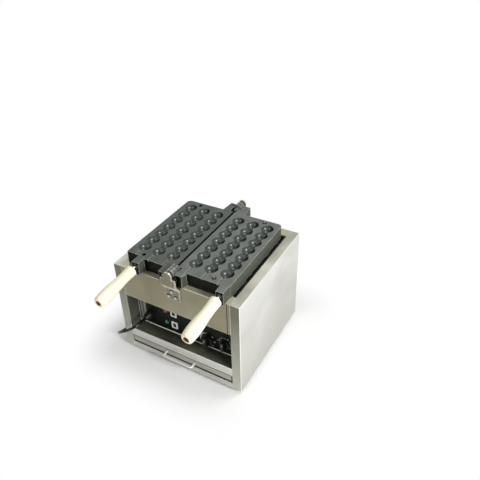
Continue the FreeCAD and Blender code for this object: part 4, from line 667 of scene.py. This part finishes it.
CORD_RADIUS = 0.0035
REST = CORD_RADIUS + 0.0003
LEAD_POINTS = [(-0.114, -0.15, 0.11), (-0.114, -0.166, 0.11), (-0.1175, -0.1805, 0.109),
               (-0.1255, -0.193, 0.1055), (-0.138, -0.2005, 0.099), (-0.153, -0.2015, 0.089),
               (-0.168, -0.196, 0.0755), (-0.181, -0.1855, 0.06), (-0.192, -0.171, 0.0445),
               (-0.2, -0.153, 0.03), (-0.206, -0.131, 0.018), (-0.21, -0.104, 0.009),
               (-0.213, -0.073, REST), (-0.214, -0.037, REST), (-0.21, 0.002, REST), (-0.197, 0.039, REST)]
TAIL_POINTS = [(-0.195, 0.077, 0.011), (-0.2, 0.09, 0.015), (-0.204, 0.103, 0.0188), (-0.204, 0.112, 0.0188)]
COIL_CENTRE = (-0.238, 0.062)
TURN_RADII = (0.0457, 0.0383)
LAYER_RISE = 0.0072
POINTS_PER_TURN = 16
COIL_START = math.radians(-20)
STEP_START = 0.35
STEP_LENGTH = 0.3


def coil_points():
    """Two turns inwards on the table, then two outwards on top of them."""
    outer, inner = TURN_RADII
    radii = (outer, inner, inner, outer)
    levels = (REST, REST, REST + LAYER_RISE, REST + LAYER_RISE)
    last = len(radii) - 1
    across, back = COIL_CENTRE
    points = []
    for i in range(1, POINTS_PER_TURN * len(radii)):
        turn = i / POINTS_PER_TURN
        along = min(max(turn - 0.5, 0), last)
        before = int(along)
        after = min(before + 1, last)
        share = min(max((along - before - STEP_START) / STEP_LENGTH, 0), 1)
        radius = radii[before] + (radii[after] - radii[before]) * share
        level = levels[before] + (levels[after] - levels[before]) * share
        angle = COIL_START + turn * math.tau
        points.append((across + radius * math.cos(angle), back + radius * math.sin(angle), level))
    return points


def make_cord():
    route = LEAD_POINTS + coil_points() + TAIL_POINTS
    curve = bpy.data.curves.new("mains_lead", "CURVE")
    curve.dimensions = "3D"
    curve.bevel_depth = CORD_RADIUS
    curve.bevel_resolution = 5
    curve.resolution_u = 6
    curve.use_fill_caps = True
    spline = curve.splines.new("NURBS")
    spline.points.add(len(route) - 1)
    for point, place in zip(spline.points, route):
        point.co = (*place, 1)
    spline.order_u = 3
    spline.use_endpoint_u = True
    lead = bpy.data.objects.new("mains_lead", curve)
    bpy.context.scene.collection.objects.link(lead)
    sheath = moulded("cord_sheath", (0.003, 0.003, 0.003), (0.006, 0.006, 0.006), (0.22, 0.30), 900.0,
                     level=0.5)
    sheath.give(lead)
    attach(lead, "cabinet")
    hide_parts("mains_cord", "cord_coil")


# ---------------------------------------------------------------- small pressed and printed details

VENT_COLUMNS = (-0.1412, -0.1308)
VENT_LOW = CASE_LOW.z + 0.076
VENT_PITCH = 0.0054
VENT_COUNT = 14
LIP_HALF = 0.0038
LIP_RISE = 0.0013
LIP_DROP = 0.0012
LIP_LAP = 0.0002

LIP_EDGE = 0.0004
SEAT_LAP = 0.0001
BEAD_FOOT = 0.07415
# Each bead: its left and right end, its top, how far it stands out and how round its edges are.
BEADS = (((-0.1222, 0.1500), 0.0766, 0.0022, 0.0009),
         ((-0.1502, -0.1229), 0.0757, 0.0014, 0.0006),
         ((-0.1502, -0.1487), 0.198, 0.0014, 0.0006))

PRINT_DEPTH = 0.00012
LETTER_HALF_DEPTH = 0.00006
LETTER_MIDDLE = 0.00007
HEAT_NUMBERS = ("50", "100", "150", "200", "250")
HEAT_NUMBER_HEIGHT = 0.0044
HEAT_NUMBER_REACH = 0.02
HEAT_START = 222
HEAT_STEP = 46
HEAT_BAND_START = 95
HEAT_BAND_END = 205
HEAT_BAND_INNER = (0.0206, 0.0178)
HEAT_BAND_OUTER = (0.0214, 0.0226)
MINUTE_COUNT = 6
MINUTE_HEIGHT = 0.0042
MINUTE_REACH = 0.0206
MINUTE_START = 220
MINUTE_END = -40
MINUTE_RING = (0.0166, 0.0172)
MINUTE_TICK = (0.017, 0.0186)
MINUTE_TICK_HALF = 1.4
MINUTE_WORD_HEIGHT = 0.0046
MINUTE_WORD = (0.103, 0.0798)
POINTER_HALF = 0.0005
POINTER_INNER = 0.003
POINTER_OUTER = 0.011
POINTER_RISE = 0.00015
POINTER_SEAT = 0.00005
POINTER_EDGE = 0.00008


def knob_centre(name):
    low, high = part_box(name)
    return (low.x + high.x) / 2, (low.z + high.z) / 2


THERMOSTAT = knob_centre("thermostat_knob")
TIMER = knob_centre("timer_knob")


def add_slab(form, low, high, edge):
    """A slab between two corners with its edges rounded by edge."""
    corners = bmesh.ops.create_cube(form, size=1.0)["verts"]
    for corner in corners:
        corner.co = [b if c > 0 else a for a, b, c in zip(low, high, corner.co)]
    edges = list({e for corner in corners for e in corner.link_edges})
    bmesh.ops.bevel(form, geom=edges, offset=edge, segments=2, profile=0.5, affect="EDGES")


def add_stripe(form, centre, start, end, inner, outer, steps=20):
    """A printed curved stripe on a dial between two angles; inner and outer radius run from first to last."""
    rings = []
    for i in range(steps + 1):
        share = i / steps
        angle = math.radians(start + (end - start) * share)
        ring = []
        for first, last in (inner, outer):
            reach = first + (last - first) * share
            x, z = centre[0] + reach * math.cos(angle), centre[1] + reach * math.sin(angle)
            ring += [form.verts.new((x, y, z)) for y in (DIAL_FACE, DIAL_FACE - PRINT_DEPTH)]
        rings.append(ring)
    for a, b in zip(rings, rings[1:]):
        for j, k in ((0, 1), (1, 3), (3, 2), (2, 0)):
            form.faces.new((a[j], a[k], b[k], b[j]))
    for ring in (rings[0], rings[-1]):
        form.faces.new((ring[0], ring[1], ring[3], ring[2]))


def add_words(form, words, height, x, face, z):
    """Printed words or numbers that look to the front."""
    curve = bpy.data.curves.new("words", "FONT")
    curve.body = words
    curve.size = height
    curve.extrude = LETTER_HALF_DEPTH
    curve.align_x = "CENTER"
    curve.align_y = "CENTER"
    letters = bpy.data.objects.new("words", curve)
    mesh = bpy.data.meshes.new_from_object(letters)
    place = Matrix.Translation((x, face - LETTER_MIDDLE, z))
    mesh.transform(place @ Matrix.Rotation(math.pi / 2, 4, "X"))
    form.from_mesh(mesh)
    bpy.data.objects.remove(letters)
    bpy.data.meshes.remove(mesh)


def add_number(form, words, height, centre, reach, angle):
    """A number of a dial's scale, at a reach and an angle from the dial's centre."""
    turn = math.radians(angle)
    x, z = centre[0] + reach * math.cos(turn), centre[1] + reach * math.sin(turn)
    add_words(form, words, height, x, DIAL_FACE, z)


def make_piece(name, form, finish, body="cabinet"):
    bmesh.ops.recalc_face_normals(form, faces=form.faces[:])
    mesh = bpy.data.meshes.new(name)
    form.to_mesh(mesh)
    form.free()
    thing = bpy.data.objects.new(name, mesh)
    bpy.context.scene.collection.objects.link(thing)
    finish.give(thing)
    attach(thing, body)


def make_louvres(finish):
    """Pressed lips under the slots of the vented wall."""
    form = bmesh.new()
    for middle in VENT_COLUMNS:
        for i in range(VENT_COUNT):
            slot = VENT_LOW + VENT_PITCH * i
            add_slab(form, (middle - LIP_HALF, BAY_WALL - LIP_RISE, slot - LIP_DROP),
                     (middle + LIP_HALF, BAY_WALL + SEAT_LAP, slot + LIP_LAP), LIP_EDGE)
    make_piece("vent_lips", form, finish)


def make_beads(finish):
    """Rolled beads along the foot of the control panel and round the vented wall."""
    form = bmesh.new()
    for (left, right), top, rise, edge in BEADS:
        add_slab(form, (left, BAY_WALL - rise, BEAD_FOOT), (right, BAY_WALL + SEAT_LAP, top), edge)
    make_piece("bay_beads", form, finish)


def make_prints(finish):
    """White scales and numbers of the two dials, and the word under the timer."""
    form = bmesh.new()
    add_stripe(form, THERMOSTAT, HEAT_BAND_START, HEAT_BAND_END, HEAT_BAND_INNER, HEAT_BAND_OUTER)
    for i, words in enumerate(HEAT_NUMBERS):
        angle = HEAT_START + HEAT_STEP * i
        add_number(form, words, HEAT_NUMBER_HEIGHT, THERMOSTAT, HEAT_NUMBER_REACH, angle)
    inner, outer = MINUTE_RING
    add_stripe(form, TIMER, MINUTE_END, MINUTE_START, (inner, inner), (outer, outer), 40)
    inner, outer = MINUTE_TICK
    for i in range(MINUTE_COUNT):
        angle = MINUTE_START + (MINUTE_END - MINUTE_START) * i / (MINUTE_COUNT - 1)
        start, end = angle - MINUTE_TICK_HALF, angle + MINUTE_TICK_HALF
        add_stripe(form, TIMER, start, end, (inner, inner), (outer, outer), 2)
        add_number(form, str(i), MINUTE_HEIGHT, TIMER, MINUTE_REACH, angle)
    across, up = MINUTE_WORD
    add_words(form, "MIN", MINUTE_WORD_HEIGHT, across, BAY_WALL, up)
    make_piece("dial_prints", form, finish)


def make_pointers(finish):
    """White line on each knob's bar."""
    for body in ("thermostat", "timer"):
        knob = f"{body}_knob"
        x, z = knob_centre(knob)
        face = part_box(knob)[0].y
        form = bmesh.new()
        add_slab(form, (x - POINTER_HALF, face - POINTER_RISE, z + POINTER_INNER),
                 (x + POINTER_HALF, face + POINTER_SEAT, z + POINTER_OUTER), POINTER_EDGE)
        make_piece(f"{body}_pointer", form, finish, body)


make_camera()
make_world()
make_lights()
make_floor()
finish_case()
finish_bay()
finish_plates()
finish_fittings()
make_cord()
printed = moulded("print_white", (0.70, 0.71, 0.69), (0.85, 0.86, 0.84), (0.5, 0.6))
# Painted highlight: the vent lips and beads get a near-white finish for the bright lines of light along them.
pressed = plain_metal("pressed_bright", (0.75, 0.76, 0.68), (0.95, 0.95, 0.88), (0.3, 0.4), 0.1)
make_louvres(pressed)
make_beads(pressed)
make_prints(printed)
make_pointers(printed)
